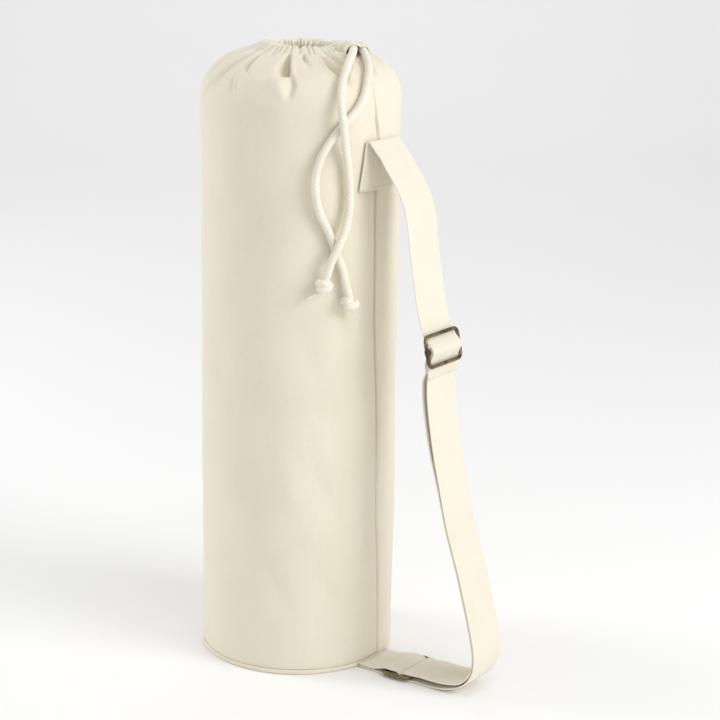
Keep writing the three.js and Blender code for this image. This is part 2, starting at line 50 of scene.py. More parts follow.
BAG_RADIUS = 100.0
BAG_HEIGHT = 636.0
DOME_HEIGHT = 54.0
DOME_ROUND = 0.976
LAST_DOME = 73.5
RIM_STANDS = 3.0
CANVAS = 1.5
GAP = 0.3
BASE_BAND = 5.0
BASE_WELT = 3.0
CORD_DIAMETER = 8.0
CASING_RADIUS = 38.0
TUNNEL_ACROSS = 7.2
TUNNEL_UP = 5.8
HEM_LAP = 7.0
HEM_RISE = 3.0
RIM_DIP = 3.0
DIP_FACES = -53.0
DIP_REACH = 0.6
WEBBING_WIDTH = 50.0
WEBBING = 1.6
STRAP_TOP = 545.0
STRAP_REACH = 138.0
TAIL_LENGTH = 47.0
TAIL_LEAN = 8.0
TAIL_GAP = 0.5
FOLD_RADIUS = 1.7
HUG_DEPTH = 12.0
WIRE = 4.0
BAR_PITCH = 15.0
FRAME_CORNER = 5.6
FRAME_ROOM = 1.0
SLIDER_OUT = 0.551
SLIDER_UP = 0.641
SLIDER_LEAN = 12.5
SLIDER_EASE = 2.0
SEWN_END = 12.0
TAB_LENGTH = 45.5
TAB_LIFT = 1.0
TAB_RAMP = 6.0

dome_foot = BAG_HEIGHT - DOME_HEIGHT
side_foot = BASE_BAND + GAP
casing_height = BAG_HEIGHT - TUNNEL_UP - CANVAS
neck_radius = CASING_RADIUS - TUNNEL_ACROSS - CANVAS

# The side seam's azimuth in degrees at shares of the bag's height
SEAM_COURSE = [(0, 4), (0.2, 2), (0.42, -1.5), (0.7, -5), (0.86, -4), (0.93, -8), (1, -6)]

# The strap's course above the slider, and below it with the room between its two layers, as
# shares of STRAP_REACH, STRAP_TOP and WEBBING
UPPER_COURSE = [
    (0.072, 0.987), (0.112, 0.975), (0.156, 0.959), (0.225, 0.936), (0.286, 0.911), (0.326, 0.886),
    (0.35, 0.857), (0.366, 0.826), (0.39, 0.789), (0.415, 0.752), (0.441, 0.717), (0.468, 0.692),
]
LOWER_COURSE = [
    (0.542, 0.587, 2.0), (0.543, 0.56, 2.1), (0.562, 0.519, 2.0), (0.611, 0.45, 1.3),
    (0.659, 0.4, 0.6), (0.739, 0.316, 0.0), (0.793, 0.275, 0.0), (0.841, 0.239, 0.0),
    (0.888, 0.198, 0.0), (0.931, 0.16, 0.0), (0.967, 0.125, 0.0), (0.993, 0.092, 0.0),
    (0.997, 0.07, 0.1), (0.978, 0.048, 0.3), (0.938, 0.031, 0.6), (0.877, 0.018, 1.0),
    (0.797, 0.0095, 2.0), (0.703, 0.004, 2.9), (0.61, 0.0, 3.4), (0.52, 0.0, 3.4),
]

# The drawcord's points in metres: where it leaves the canvas, inside it, and down each free end
FRONT_MOUTH = (0.053, 0.005, 0.633)
BACK_MOUTH = (0.053, 0.0154, 0.6318)
FRONT_EXIT = [
    (0.0365, -0.0105, 0.6262), (0.0393, -0.0046, 0.6274), (0.0434, 0.0012, 0.6296),
    (0.0478, 0.0044, 0.6316),
]
BACK_EXIT = [(0.0346, 0.0214, 0.6282), (0.0396, 0.0178, 0.629), (0.046, 0.016, 0.6305)]
FRONT_STRAND = [
    (0.059, 0.0026, 0.6335), (0.0638, -0.0014, 0.6329), (0.0682, -0.0071, 0.6312),
    (0.0746, -0.0196, 0.6264), (0.0797, -0.0319, 0.6201), (0.0839, -0.0433, 0.6117),
    (0.0876, -0.0528, 0.601), (0.0917, -0.0593, 0.5884), (0.0957, -0.0617, 0.5744),
    (0.0966, -0.0599, 0.5598), (0.0953, -0.0557, 0.5457), (0.0946, -0.0514, 0.5316),
    (0.0949, -0.049, 0.517), (0.0955, -0.048, 0.5023), (0.096, -0.0487, 0.4875),
    (0.0962, -0.052, 0.4731), (0.0956, -0.0578, 0.4595), (0.0933, -0.0643, 0.4465),
    (0.089, -0.0685, 0.433), (0.0853, -0.0706, 0.419),
]
BACK_STRAND = [
    (0.0592, 0.0135, 0.6324), (0.0647, 0.0105, 0.632), (0.0705, 0.0061, 0.6302),
    (0.0817, -0.0029, 0.6234), (0.0908, -0.0128, 0.6146), (0.0967, -0.0233, 0.6041),
    (0.0989, -0.0318, 0.5908), (0.0963, -0.0408, 0.5779), (0.0911, -0.0515, 0.5671),
    (0.0858, -0.0608, 0.5552), (0.0804, -0.0685, 0.5423), (0.0768, -0.0742, 0.5278),
    (0.0757, -0.0768, 0.5121), (0.0763, -0.0763, 0.4961), (0.0786, -0.0727, 0.4807),
    (0.0822, -0.0665, 0.4663), (0.0853, -0.061, 0.4516), (0.0885, -0.0562, 0.4366),
    (0.0923, -0.0522, 0.4216), (0.0955, -0.0506, 0.406),
]

FRONT_CORD = (FRONT_MOUTH, FRONT_EXIT, FRONT_STRAND)
BACK_CORD = (BACK_MOUTH, BACK_EXIT, BACK_STRAND)

# Creases of the canvas. A row is an azimuth in degrees, a place from the hem (0) to the shoulder's
# foot (1) and on down the side in dome heights, then in millimetres the depth there and the reach to
# the left and to the right. A negative depth is a ridge.
CREASES = [
    # on the left, as the camera sees it: a long sharp one with a panel behind it, and its lesser
    # neighbours
    [(-105, 0.04, 3, 4, 1.6), (-103.6, 0.27, 6.6, 6, 1.6), (-105.9, 0.41, 7.6, 7, 1.6),
     (-108.4, 0.56, 7.2, 8, 1.7), (-112.2, 0.69, 6, 8, 1.8), (-119, 0.84, 3.6, 8, 2.2),
     (-122, 1.02, 0, 8, 4)],
    [(-128, 0.03, 3, 4, 3), (-127.8, 0.18, 5, 5, 3), (-128, 0.37, 5.6, 6, 3),
     (-129, 0.59, 4, 6, 4), (-131, 0.9, 0, 6, 5)],
    [(-95, 0.03, 2.4, 3, 1.3), (-93.2, 0.24, 4.6, 4.5, 1.4), (-92.8, 0.36, 4.6, 4.5, 1.4),
     (-91.6, 0.45, 3.4, 3.5, 1.5), (-89.5, 0.53, 0, 3, 2)],
    [(-98.6, 0.56, 0, 2, 1.6), (-98, 0.66, 1.8, 2.6, 1.6), (-96.9, 0.75, 1.8, 2.6, 1.6),
     (-96, 0.9, 0, 2.6, 1.6)],
    [(-95.2, 0.58, 0, 2, 1.4), (-93.4, 0.72, 1.5, 2.2, 1.4), (-92.4, 0.88, 0, 2.2, 1.6)],
    [(-84, 0.02, 1.6, 2, 2), (-83, 0.12, 1.2, 3, 3), (-82, 0.26, 0, 3, 3)],
    # the deep dent in the middle, which ends in a rounded lump
    [(-65.6, 0.02, 2, 1.8, 1.2), (-64.2, 0.12, 7, 3.4, 1.3), (-63, 0.25, 12.5, 6, 1.5),
     (-62.3, 0.37, 15, 8, 1.7), (-61.8, 0.455, 14, 9, 1.9), (-61.3, 0.495, 7, 8, 2),
     (-60.4, 0.54, 2, 5, 2)],
    [(-59.8, 0.5, 0, 3, 2), (-58.4, 0.6, 3.2, 4.5, 2), (-58, 0.69, 3.6, 5.5, 2.2),
     (-59.3, 0.78, 3, 6, 2.6), (-61, 0.92, 0, 6, 4)],
    [(-68, 0.53, 0, 8, 6), (-67.5, 0.65, -3.4, 9, 6), (-64, 0.78, -2, 9, 6), (-62, 0.95, 0, 9, 6)],
    [(-84, 0.5, 0, 12, 9), (-82, 0.66, -1.8, 12, 9), (-78, 0.9, 0, 12, 9)],
    [(-74, 0.95, 0, 16, 14), (-76, 1.3, 2, 18, 15), (-80, 2.2, 0, 20, 16)],
    [(-50.8, 0.01, 1.6, 1.6, 1.2), (-50.4, 0.08, 4.4, 2.4, 1.3), (-50.3, 0.15, 4.2, 3, 1.4),
     (-49.4, 0.24, 2.4, 4, 2), (-48.2, 0.34, 1.2, 4.5, 3), (-47, 0.5, 0, 5, 4)],
    # on the right: the pocket behind the front panel's sharp edge, then the cord's own sleeve
    [(-37.4, 0.02, 4, 1.6, 4), (-33.4, 0.17, 10.5, 1.7, 6), (-32.6, 0.38, 15, 1.9, 8),
     (-29.4, 0.49, 14, 2, 7), (-26.9, 0.57, 9.5, 2, 6), (-25, 0.64, 3.4, 2.4, 5),
     (-23.5, 0.74, 0, 3, 5)],
    [(-27.6, 0.02, 2, 2.4, 1.2), (-22.4, 0.09, 4.6, 3, 1.3), (-21, 0.16, 6, 3.4, 1.3),
     (-19.9, 0.25, 6, 3.6, 1.3), (-17.8, 0.33, 4, 3.6, 1.5), (-15, 0.42, 0, 3.6, 2)],
    [(-22, 0, -0.6, 4, 5), (-13, 0.08, -2.2, 5, 6), (-8, 0.16, -2.8, 5, 7), (-5, 0.26, -2, 6, 8),
     (-3, 0.4, 0, 6, 8)],
    [(5.5, 0.36, 0, 3, 2), (3.4, 0.44, 3, 3.6, 2), (0.9, 0.52, 2.8, 3.6, 2), (-1, 0.62, 0, 3, 2)],
    [(37, 0.04, 1.4, 3, 2), (27, 0.31, 2.6, 3.6, 2), (21, 0.42, 2.4, 4, 2.2), (16, 0.62, 0, 4, 3)],
    # broad dents and swells of the side
    [(-52, 5, 0, 14, 12), (-47, 5.7, 1.6, 16, 12), (-38, 6.6, 0, 14, 12)],
    [(-49, 7.2, 0, 14, 9), (-43.5, 7.8, 1.8, 16, 9), (-28, 8.7, 1.2, 14, 9), (-20, 9.2, 0, 12, 9)],
    [(-66, 7, 0, 16, 12), (-60, 7.8, -1.6, 18, 12), (-48, 8.8, -1.2, 16, 12), (-40, 9.4, 0, 14, 12)],
    [(-76, 9.2, 0, 14, 10), (-66, 10, 1.6, 16, 10), (-52, 10.9, 0, 14, 10)],
    [(-46, 9.3, 0, 12, 9), (-37, 10, 1.6, 13, 9), (-27, 10.6, 0, 12, 9)],
    [(-112, 2.4, 0, 12, 14), (-104, 3, 1.6, 12, 14), (-92, 3.4, 0, 12, 14)],
    [(-116, 5.4, 0, 12, 14), (-106, 6, 1.4, 12, 14), (-90, 6.6, 0, 12, 14)],
    [(-30, 1.6, 0, 8, 12), (-28, 2.4, 1.2, 8, 12), (-24, 3.4, 0, 8, 12)],
    [(40, 2.6, 0, 16, 12), (60, 3.6, 1.8, 16, 12), (84, 4.2, 0, 16, 12)],
    [(96, 6, 0, 16, 12), (116, 7, 1.8, 18, 12), (134, 8.2, 0, 16, 12)],
    [(150, 2.8, 0, 14, 12), (168, 3.6, 1.6, 16, 12), (190, 4, 0, 14, 12)],
    [(196, 7.4, 0, 14, 12), (208, 8.4, 1.6, 16, 12), (224, 9, 0, 14, 12)],
    # round the far side
    [(58, 0.03, 2.5, 3, 2.4), (56, 0.25, 4.2, 5, 2.2), (54, 0.5, 3.6, 7, 2.6), (51, 0.95, 0, 8, 5)],
    [(84, 0.03, 2.5, 2.4, 3), (83, 0.3, 7.2, 2.2, 6), (80, 0.52, 6, 2.6, 7), (77, 0.72, 0, 5, 7)],
    [(97, 0.1, 0, 3, 2), (98, 0.3, 2, 4, 2), (101, 0.7, 0, 5, 3)],
    [(109, 0.03, 2, 4, 2), (111, 0.3, 4.2, 6, 2), (114, 0.6, 2.8, 7, 3), (118, 1, 0, 8, 5)],
    [(133, 0.03, 2, 2, 3), (131, 0.28, 6.4, 2.2, 6), (128, 0.5, 5.6, 2.6, 7), (126, 0.75, 0, 4, 7)],
    [(148, 0.2, 0, 3, 3), (147, 0.45, 1.8, 4, 3), (146, 0.8, 0, 4, 4)],
    [(163, 0.03, 2, 5, 2), (165, 0.3, 4, 7, 2.2), (169, 0.65, 2.4, 8, 3), (173, 1.1, 0, 9, 5)],
    [(188, 0.03, 2.2, 2, 4), (187, 0.3, 5.6, 2.4, 6), (184, 0.5, 4.4, 3, 7), (182, 0.75, 0, 5, 7)],
    [(207, 0.03, 2, 3, 3), (209, 0.25, 3.4, 5, 3), (212, 0.5, 2.6, 7, 4), (214, 0.95, 0, 8, 6)],
    [(221, 0.1, 0, 2, 3), (220, 0.3, 2.2, 2.4, 4), (219, 0.7, 0, 3, 5)],
]


# Objects in the scene

def linked(name, data):
    """An object in the scene, from its data."""
    thing = bpy.data.objects.new(name, data)
    bpy.context.scene.collection.objects.link(thing)
    return thing


# Camera

PITCH, YAW, ROLL, CAMERA_AZIMUTH = 15.104, 1.714, 0.879, 37.0
CAMERA_AWAY, CAMERA_HEIGHT, LENS, SENSOR = 2.0908, 0.8719, 105, 36


def photo_camera():
    """The camera where the photograph was taken from."""
    pitch, yaw, roll = (math.radians(a) for a in (PITCH, YAW, ROLL))
    forward = Vector((math.sin(yaw) * math.cos(pitch), math.cos(yaw) * math.cos(pitch), -math.sin(pitch)))
    level = Vector((math.cos(yaw), -math.sin(yaw), 0))
    upright = level.cross(forward)
    right = level * math.cos(roll) + upright * math.sin(roll)
    up = upright * math.cos(roll) - level * math.sin(roll)
    facing = Matrix((right, up, -forward)).transposed().to_4x4()
    data = bpy.data.cameras.new("camera")
    data.lens = LENS
    data.sensor_width = SENSOR
    data.clip_start = 0.05
    data.clip_end = 20
    camera = linked("camera", data)
    place = Matrix.Translation((0, -CAMERA_AWAY, CAMERA_HEIGHT))
    camera.matrix_world = Matrix.Rotation(math.radians(CAMERA_AZIMUTH), 4, "Z") @ place @ facing
    bpy.context.scene.camera = camera


photo_camera()


# Curves and skins

def smoothstep(x, low=0.0, high=1.0):
    x = np.clip((x - low) / (high - low), 0, 1)
    return x * x * (3 - 2 * x)


def bell(x, middle, width):
    """A rounded bump, 1 high at its middle."""
    return np.exp(-(((x - middle) / width) ** 2))


def turn_between(a, b):
    """The signed turn in degrees from azimuth b to azimuth a."""
    return (a - b + 180) % 360 - 180


def unit(x):
    """The same directions, each 1 long."""
    x = np.asarray(x, float)
    return x / np.linalg.norm(x, axis=-1, keepdims=True)


def polar(r, turn, z):
    """Points at a radius, a turn about Z in radians and a height."""
    return np.stack(np.broadcast_arrays(r * np.cos(turn), r * np.sin(turn), z), -1)


def catmull(points, steps):
    """A Catmull-Rom curve through points, with steps pieces between each two."""
    p = np.asarray(points, float)
    p = np.vstack([2 * p[0] - p[1], p, 2 * p[-1] - p[-2]])
    pieces = []
    for k in range(1, len(p) - 2):
        p0, p1, p2, p3 = p[k - 1 : k + 3]
        d0, d1, d2 = (max(np.linalg.norm(b - a) ** 0.5, 1e-4) for a, b in ((p0, p1), (p1, p2), (p2, p3)))
        t1 = ((p1 - p0) / d0 - (p2 - p0) / (d0 + d1) + (p2 - p1) / d1) * d1
        t2 = ((p2 - p1) / d1 - (p3 - p1) / (d1 + d2) + (p3 - p2) / d2) * d1
        w = np.arange(steps)[:, None] / steps
        square = (3 * (p2 - p1) - 2 * t1 - t2) * w**2
        cube = (2 * (p1 - p2) + t1 + t2) * w**3
        pieces.append(p1 + t1 * w + square + cube)
    return np.vstack(pieces + [p[-2][None]])


def lengths(points):
    """How far along a line each of its points lies."""
    steps = np.linalg.norm(np.diff(points, axis=0), axis=1)
    return np.concatenate([[0], np.cumsum(steps)])


def evenly(points, step):
    """The same line with its points step apart."""
    points = np.asarray(points, float)
    along = lengths(points)
    at = np.linspace(0, along[-1], max(2, int(round(along[-1] / step)) + 1))
    return np.stack([np.interp(at, along, points[:, k]) for k in range(3)], 1)


def eased(points, rounds, hold=3):
    """The same line with its bends softened and its ends held."""
    p = points.copy()
    for _ in range(rounds):
        p[hold:-2] += 0.5 * (0.5 * (p[hold - 1 : -3] + p[hold + 1 : -1]) - p[hold:-2])
    return p


def mesh_object(name, verts, faces, uvs, finish):
    """A smooth mesh from points, with one texture place for each corner of each face."""
    mesh = bpy.data.meshes.new(name)
    mesh.from_pydata((np.asarray(verts, float) * MM).tolist(), [], faces)
    layer = mesh.uv_layers.new(name="UVMap")
    layer.data.foreach_set("uv", (np.asarray(uvs) * MM).astype(np.float32).ravel())
    mesh.polygons.foreach_set("use_smooth", np.ones(len(mesh.polygons), bool))
    mesh.materials.append(finish)
    return linked(name, mesh)


def lofted(name, rings, u, v, finish, through=False, caps=False):
    """A skin over rings[row, column], closed round each row. u and v are texture places that spread
    over one more column than the rings have and, where the skin goes through to its first row,
    over one more row."""
    rings = np.asarray(rings, float)
    u, v = np.broadcast_arrays(u, v)
    rows, cols = rings.shape[:2]
    i, j = np.meshgrid(np.arange(rows if through else rows - 1), np.arange(cols), indexing="ij")
    i, j = i.ravel(), j.ravel()
    low, high, side = i * cols, ((i + 1) % rows) * cols, (j + 1) % cols
    faces = np.stack([low + j, low + side, high + side, high + j], 1).tolist()
    corners = [(i, j), (i, j + 1), (i + 1, j + 1), (i + 1, j)]
    uvs = np.stack([np.stack([u[c], v[c]], -1) for c in corners], 1).reshape(-1, 2)
    if caps:
        faces.append(list(range(cols))[::-1])
        faces.append(list(range((rows - 1) * cols, rows * cols)))
        uvs = np.concatenate([uvs, np.zeros((2 * cols, 2))])
    return mesh_object(name, rings.reshape(-1, 3), faces, uvs, finish)


def tube(name, points, radius, sides, finish, surface=None):
    """A tube along points. radius is one number or one for each point, and surface(angle, along)
    a share by which the skin stands out."""
    points = np.asarray(points, float)
    tangent = unit(np.gradient(points, axis=0))
    first = np.cross(tangent[0], [0, 0, 1.0])
    if np.linalg.norm(first) < 0.1:
        first = np.cross(tangent[0], [0, 1.0, 0])
    side = [unit(first)]
    for t in tangent[1:]:
        side.append(unit(side[-1] - t * np.dot(side[-1], t)))
    side = np.array(side)
    front = np.cross(tangent, side)
    along = lengths(points)
    angle = 2 * np.pi * np.arange(sides) / sides
    radius = np.broadcast_to(np.asarray(radius, float), (len(points),))[:, None]
    wide = radius * np.ones(sides)
    if surface is not None:
        wide = wide * (1 + surface(angle[None, :], along[:, None]))
    spokes = side[:, None] * np.cos(angle)[None, :, None] + front[:, None] * np.sin(angle)[None, :, None]
    rings = points[:, None] + wide[..., None] * spokes
    girth = np.arange(sides + 1) / sides * 2 * np.pi * radius.max()
    return lofted(name, rings, girth, along[:, None], finish, caps=True)


def joined(name, parts):
    """One object from several."""
    bpy.ops.object.select_all(action="DESELECT")
    for part in parts:
        part.select_set(True)
    bpy.context.view_layer.objects.active = parts[0]
    bpy.ops.object.join()
    parts[0].name = name
    parts[0].data.name = name
    return parts[0]


def dress(piece, slot, *nodes):
    """Hangs a finished piece on the part, in the place of CAD nodes where it has any."""
    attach(piece, "root")
    if nodes:
        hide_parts(*nodes)


# Materials

class Nodes:
    """A material under construction."""

    def __init__(self, name):
        self.material = bpy.data.materials.new(name)
        self.material.use_nodes = True
        self.tree = self.material.node_tree
        self.tree.nodes.clear()

    def add(self, kind, values=None, **settings):
        """A node with its settings, and values or links for its inputs by name or number."""
        node = self.tree.nodes.new(kind)
        for key, value in settings.items():
            setattr(node, key, value)
        for key, value in (values or {}).items():
            if isinstance(value, bpy.types.NodeSocket):
                self.tree.links.new(value, node.inputs[key])
            else:
                node.inputs[key].default_value = value
        return node

    def math(self, operation, a, b=0.0):
        return self.add("ShaderNodeMath", {0: a, 1: b}, operation=operation).outputs[0]

    def place(self):
        """The place on the piece."""
        return self.add("ShaderNodeTexCoord").outputs["Object"]

    def texture(self):
        """The place in the mesh's texture, whole and as its two parts."""
        whole = self.add("ShaderNodeUVMap", uv_map="UVMap").outputs[0]
        parts = self.add("ShaderNodeSeparateXYZ", {0: whole})
        return whole, parts.outputs[0], parts.outputs[1]

    def plus(self, a, b):
        return self.math("ADD", a, b)

    def times(self, a, b):
        return self.math("MULTIPLY", a, b)

    def noise(self, place, scale, detail=2.0, roughness=0.5):
        values = {"Vector": place, "Scale": scale, "Detail": detail, "Roughness": roughness}
        return self.add("ShaderNodeTexNoise", values).outputs[0]

    def ramp(self, factor, low, low_colour, high, high_colour):
        node = self.add("ShaderNodeValToRGB", {0: factor})
        node.color_ramp.elements[0].position = low
        node.color_ramp.elements[0].color = (*low_colour, 1)
        node.color_ramp.elements[1].position = high
        node.color_ramp.elements[1].color = (*high_colour, 1)
        return node.outputs[0]

    def bump(self, height, distance, strength=1.0):
        values = {"Strength": strength, "Distance": distance, "Height": height}
        return self.add("ShaderNodeBump", values).outputs[0]

    def finish(self, values):
        shader = self.add("ShaderNodeBsdfPrincipled", values)
        self.add("ShaderNodeOutputMaterial", {"Surface": shader.outputs[0]})
        return self.material


# What all the cotton shares, the colour of its seed flecks, the height of its small unevenness
# in reliefs, and the length of one plait along the cord
COTTON = {"Roughness": 0.9, "Specular IOR Level": 0.15, "Sheen Roughness": 0.5}
FLECK = (0.35, 0.25, 0.14, 1)
RUMPLE = 4.0
PLAIT = 4.6


def woven(name, light, dark, pitch, relief, chevron=0.0, seeds=0.0):
    """Plain cotton cloth in the mesh's texture places: threads over and under each other, uneven
    as spun yarn is, with clouds and streaks in its colour. pitch is from thread to thread in mm,
    chevron the width of a herringbone's columns, and seeds how many brown flecks lie along a
    metre."""
    n = Nodes(name)
    uv, across, along = n.texture()
    slub = n.times(n.math("SUBTRACT", n.noise(uv, 700.0), 0.5), 1.2)
    u, v = (n.plus(n.times(way, math.pi / (pitch * MM)), slub) for way in (across, along))
    if chevron:
        column = n.math("FRACT", n.times(across, 1 / (chevron * MM)))
        slant = n.math("ABSOLUTE", n.math("SUBTRACT", column, 0.5))
        v = n.plus(v, n.times(slant, 2.4 * math.pi * chevron / pitch))
    wave_u, wave_v = n.math("SINE", u), n.math("SINE", v)
    warp, weft = (n.math("POWER", n.math("ABSOLUTE", wave), 0.6) for wave in (wave_u, wave_v))
    over = n.math("GREATER_THAN", n.times(wave_u, wave_v), 0.0)
    warp_top = n.times(warp, n.plus(n.times(weft, 0.45), 0.55))
    weft_top = n.times(weft, n.plus(n.times(warp, 0.45), 0.5))
    weave = n.add("ShaderNodeMix", {0: over, 2: weft_top, 3: warp_top}, data_type="FLOAT").outputs[0]
    fuzz = n.noise(uv, 2400.0, 3.0, 0.7)
    height = n.plus(weave, n.times(fuzz, 0.4))

    place = n.place()
    stretched = n.add("ShaderNodeMapping", {0: uv, "Scale": (900.0, 14.0, 1.0)}).outputs[0]
    streaks = n.noise(stretched, 1.0, 2.0)
    clouds = n.noise(place, 13.0, 4.0, 0.6)
    grain = n.noise(place, 300.0, 3.0, 0.6)
    # The colour mixes the cloth's own uneven tone from the clouds, grain and streaks with the weave's
    # height, which paints the tops of the threads lighter and the hollows between them darker: painted
    # shade.
    tone = n.times(clouds, 0.4)
    for part in (grain, streaks, weave):
        tone = n.plus(tone, n.times(part, 0.2))
    colour = n.ramp(tone, 0.3, dark, 0.68, light)
    uneven = n.times(n.noise(place, 75.0, 3.0), RUMPLE)
    if seeds:
        spots = n.add("ShaderNodeTexVoronoi", {"Vector": place, "Scale": seeds}).outputs[0]
        near = n.add("ShaderNodeMapRange", {0: spots, 1: 0.012, 2: 0.05, 3: 0.4, 4: 0.0}).outputs[0]
        mix = n.add("ShaderNodeMix", {0: near, 6: colour, 7: FLECK}, data_type="RGBA")
        colour = mix.outputs[2]
    normal = n.bump(n.plus(height, uneven), relief)
    return n.finish({**COTTON, "Base Color": colour, "Sheen Weight": 0.4, "Normal": normal})


def rope(name, light, dark):
    """A soft cotton cord, its plaits drawn round the mesh's texture places."""
    n = Nodes(name)
    uv, around, along = n.texture()
    u = n.times(around, 2 / (CORD_DIAMETER * MM) * 4)
    v = n.times(along, 2 * math.pi / (PLAIT * MM))
    turns = n.plus(u, v), n.math("SUBTRACT", u, v)
    left, right = (n.math("ABSOLUTE", n.math("SINE", n.times(turn, 0.5))) for turn in turns)
    plait = n.math("POWER", n.times(left, right), 0.5)
    fuzz = n.noise(uv, 1500.0, 3.0, 0.7)
    height = n.plus(n.times(plait, 0.5), fuzz)
    clouds = n.noise(n.place(), 60.0, 3.0)
    # The colour mixes the cord's own uneven tone from the clouds with the plait's height, which paints the
    # crowns of the plaits lighter and the grooves between them darker: painted shade.
    tone = n.plus(n.times(clouds, 0.7), n.times(plait, 0.3))
    colour = n.ramp(tone, 0.2, dark, 0.75, light)
    normal = n.bump(height, 0.00014, 0.8)
    return n.finish({**COTTON, "Base Color": colour, "Sheen Weight": 0.25, "Normal": normal})


def antique_brass():
    """Darkened brass, rubbed brighter in patches."""
    n = Nodes("antique_brass")
    place = n.place()
    drawn = n.noise(place, 1300.0)
    colour = n.ramp(n.noise(place, 150.0, 4.0, 0.6), 0.35, (0.085, 0.07, 0.035), 0.65, (0.32, 0.265, 0.14))
    rough = n.add("ShaderNodeMapRange", {0: drawn, 1: 0.3, 2: 0.7, 3: 0.27, 4: 0.42}).outputs[0]
    return n.finish({
        "Base Color": colour,
        "Metallic": 1.0,
        "Roughness": rough,
        "Normal": n.bump(drawn, 0.00004, 0.3),
    })


canvas = woven("natural_canvas", (0.87, 0.81, 0.675), (0.79, 0.72, 0.575), 0.62, 0.00008, seeds=80)
tape_colours = (0.91, 0.855, 0.72), (0.83, 0.765, 0.62)
cotton_webbing = woven("cotton_webbing", *tape_colours, 0.85, 0.00013, chevron=6.2)
sewing_thread = woven("sewing_thread", (0.86, 0.8, 0.66), (0.78, 0.71, 0.57), 0.3, 0.00003)
cotton_cord = rope("cotton_cord", (0.9, 0.855, 0.745), (0.79, 0.735, 0.61))
brass = antique_brass()


# Drawcord ends

# The straight stretch of cord on both sides of a mouth, and the canvas's room round it there
MOUTH_LEAD, MOUTH_ROOM = 2.4, 0.5


def strand_line(mouth, exit_points, strand):
    """A free end's middle line: straight out of its mouth, then down through its points."""
    mouth, inner, strand = (np.array(x) / MM for x in (mouth, exit_points[-1], strand))
    lead = unit(strand[0] - inner)
    line = catmull(np.vstack([mouth + GAP * lead, mouth + MOUTH_LEAD * lead, strand]), 24)
    line = evenly(line, 1.0)
    return evenly(eased(line, 14), 1.0), lead


def plaited(angle, along):
    """The relief of a braided cord."""
    turned = along * np.pi / PLAIT
    left, right = 4 * angle + turned, 4 * angle - turned
    return 0.012 * (np.abs(np.sin(left)) * np.abs(np.sin(right))) ** 0.5 - 0.008


def hung_from(line):
    """A function from a knot's own places to the part's, where its Z runs on along a line's end."""
    axis = unit(line[-1] - line[-6])
    side = unit(np.cross([0, 0, 1.0], axis))
    front = np.cross(axis, side)

    def local(points):
        points = np.asarray(points, float)
        return line[-1] + points[:, :1] * side + points[:, 1:2] * front + points[:, 2:] * axis

    return local


# How far a knot's bight turns round the core in degrees, how far out it lies and how far it climbs
BIGHT_TURN, BIGHT_OUT, BIGHT_CLIMB = 430, 5.0, 6.8


def lump_knot(name, line, start_angle, drop):
    """An overhand knot pulled tight: the cord's core with one fat bight wound over it, drop below
    the line's end."""
    local = hung_from(line)
    ends = [(0, 0, -1.0), (0.2, 0.2, 3 + drop), (0.6, -0.3, 8 + drop), (0, 0, 12 + drop)]
    ends.append((-0.3, 0.3, 16 + drop))
    core = catmull(ends, 12)
    wide = np.interp(np.linspace(0, 1, len(core)), [0, 0.25, 0.7, 1], [3.95, 4.2, 4.2, 2.6])
    parts = [tube(name + "_core", local(core), wide, 28, cotton_cord, plaited)]
    turns = np.linspace(0, 1, 44)
    angle = np.radians(start_angle + BIGHT_TURN * turns)
    out = BIGHT_OUT + 0.4 * np.sin(2 * angle)
    lift = drop + 4.6 + BIGHT_CLIMB * turns + 1.3 * np.sin(angle + 0.6)
    bight = polar(out, angle, lift)
    first, last = bight[:1] * [0.35, 0.35, 1] - [0, 0, 1.4], bight[-1:] * [0.3, 0.3, 1] + [0, 0, 1.6]
    bight = evenly(catmull(np.vstack([first, bight, last]), 4), 0.8)
    wide = np.interp(np.linspace(0, 1, len(bight)), [0, 0.12, 0.85, 1], [2.4, 3.9, 4.0, 2.4])
    parts.append(tube(name + "_bight", local(bight), wide, 28, cotton_cord, plaited))
    return parts, local([ends[-1]])[0]


def frayed(name, start, lean, count, reach, wide, spread, thick):
    """Loose yarns fanning out from a cut cord."""
    lean = unit(lean)
    side = unit(np.cross(lean, [0, 0, 1.0]))
    front = np.cross(side, lean)
    parts = []
    for k in range(count):
        a, b = rng.uniform(-1, 1, 2)
        long = reach * rng.uniform(0.72, 1.0)
        fan = side * a * spread + front * b * spread * 0.45
        curl = rng.normal(0, 0.4, 3)
        line = catmull([
            start + side * a * wide * 0.8 + front * b * 1.3 - lean * 2.0,
            start + side * a * wide + front * b * 1.4 + lean * long * 0.3 + fan * 0.2,
            start + lean * long * 0.68 + fan * 0.62 + curl * 0.4,
            start + lean * long + fan + curl,
        ], 5)
        parts.append(tube(f"{name}_{k}", line, np.linspace(thick, thick * 0.6, len(line)), 6, cotton_cord))
    return parts


def free_end(name, mouth, exit_points, strand, nodes, turned, drop, fray):
    """A free end of the drawcord with its knot and frayed tail."""
    line, lead = strand_line(mouth, exit_points, strand)
    cord = tube(name, line, CORD_DIAMETER / 2, 40, cotton_cord, plaited)
    parts, tip = lump_knot(name + "_knot", line, turned, drop)
    knot = joined(name + "_knot", parts + frayed(name + "_fray", tip, *fray))
    dress(cord, "cord", nodes[0])
    dress(knot, "cord", nodes[1])
    float(lengths(line)[-1] * MM)
    return lead


# Each frayed tail: its lean, its yarns, their reach, their half width, spread and radius
FRONT_FRAY = ((-0.65, -0.7, -0.42), 70, 18.0, 2.9, 2.6, 0.6)
BACK_FRAY = ((0.55, 0.75, -0.75), 12, 14.0, 1.4, 0.9, 0.42)

# Each knot: where its bight starts in degrees, and how far it hangs below the line's end
FRONT_KNOT, BACK_KNOT = (-40, 0.0), (150, 7.0)

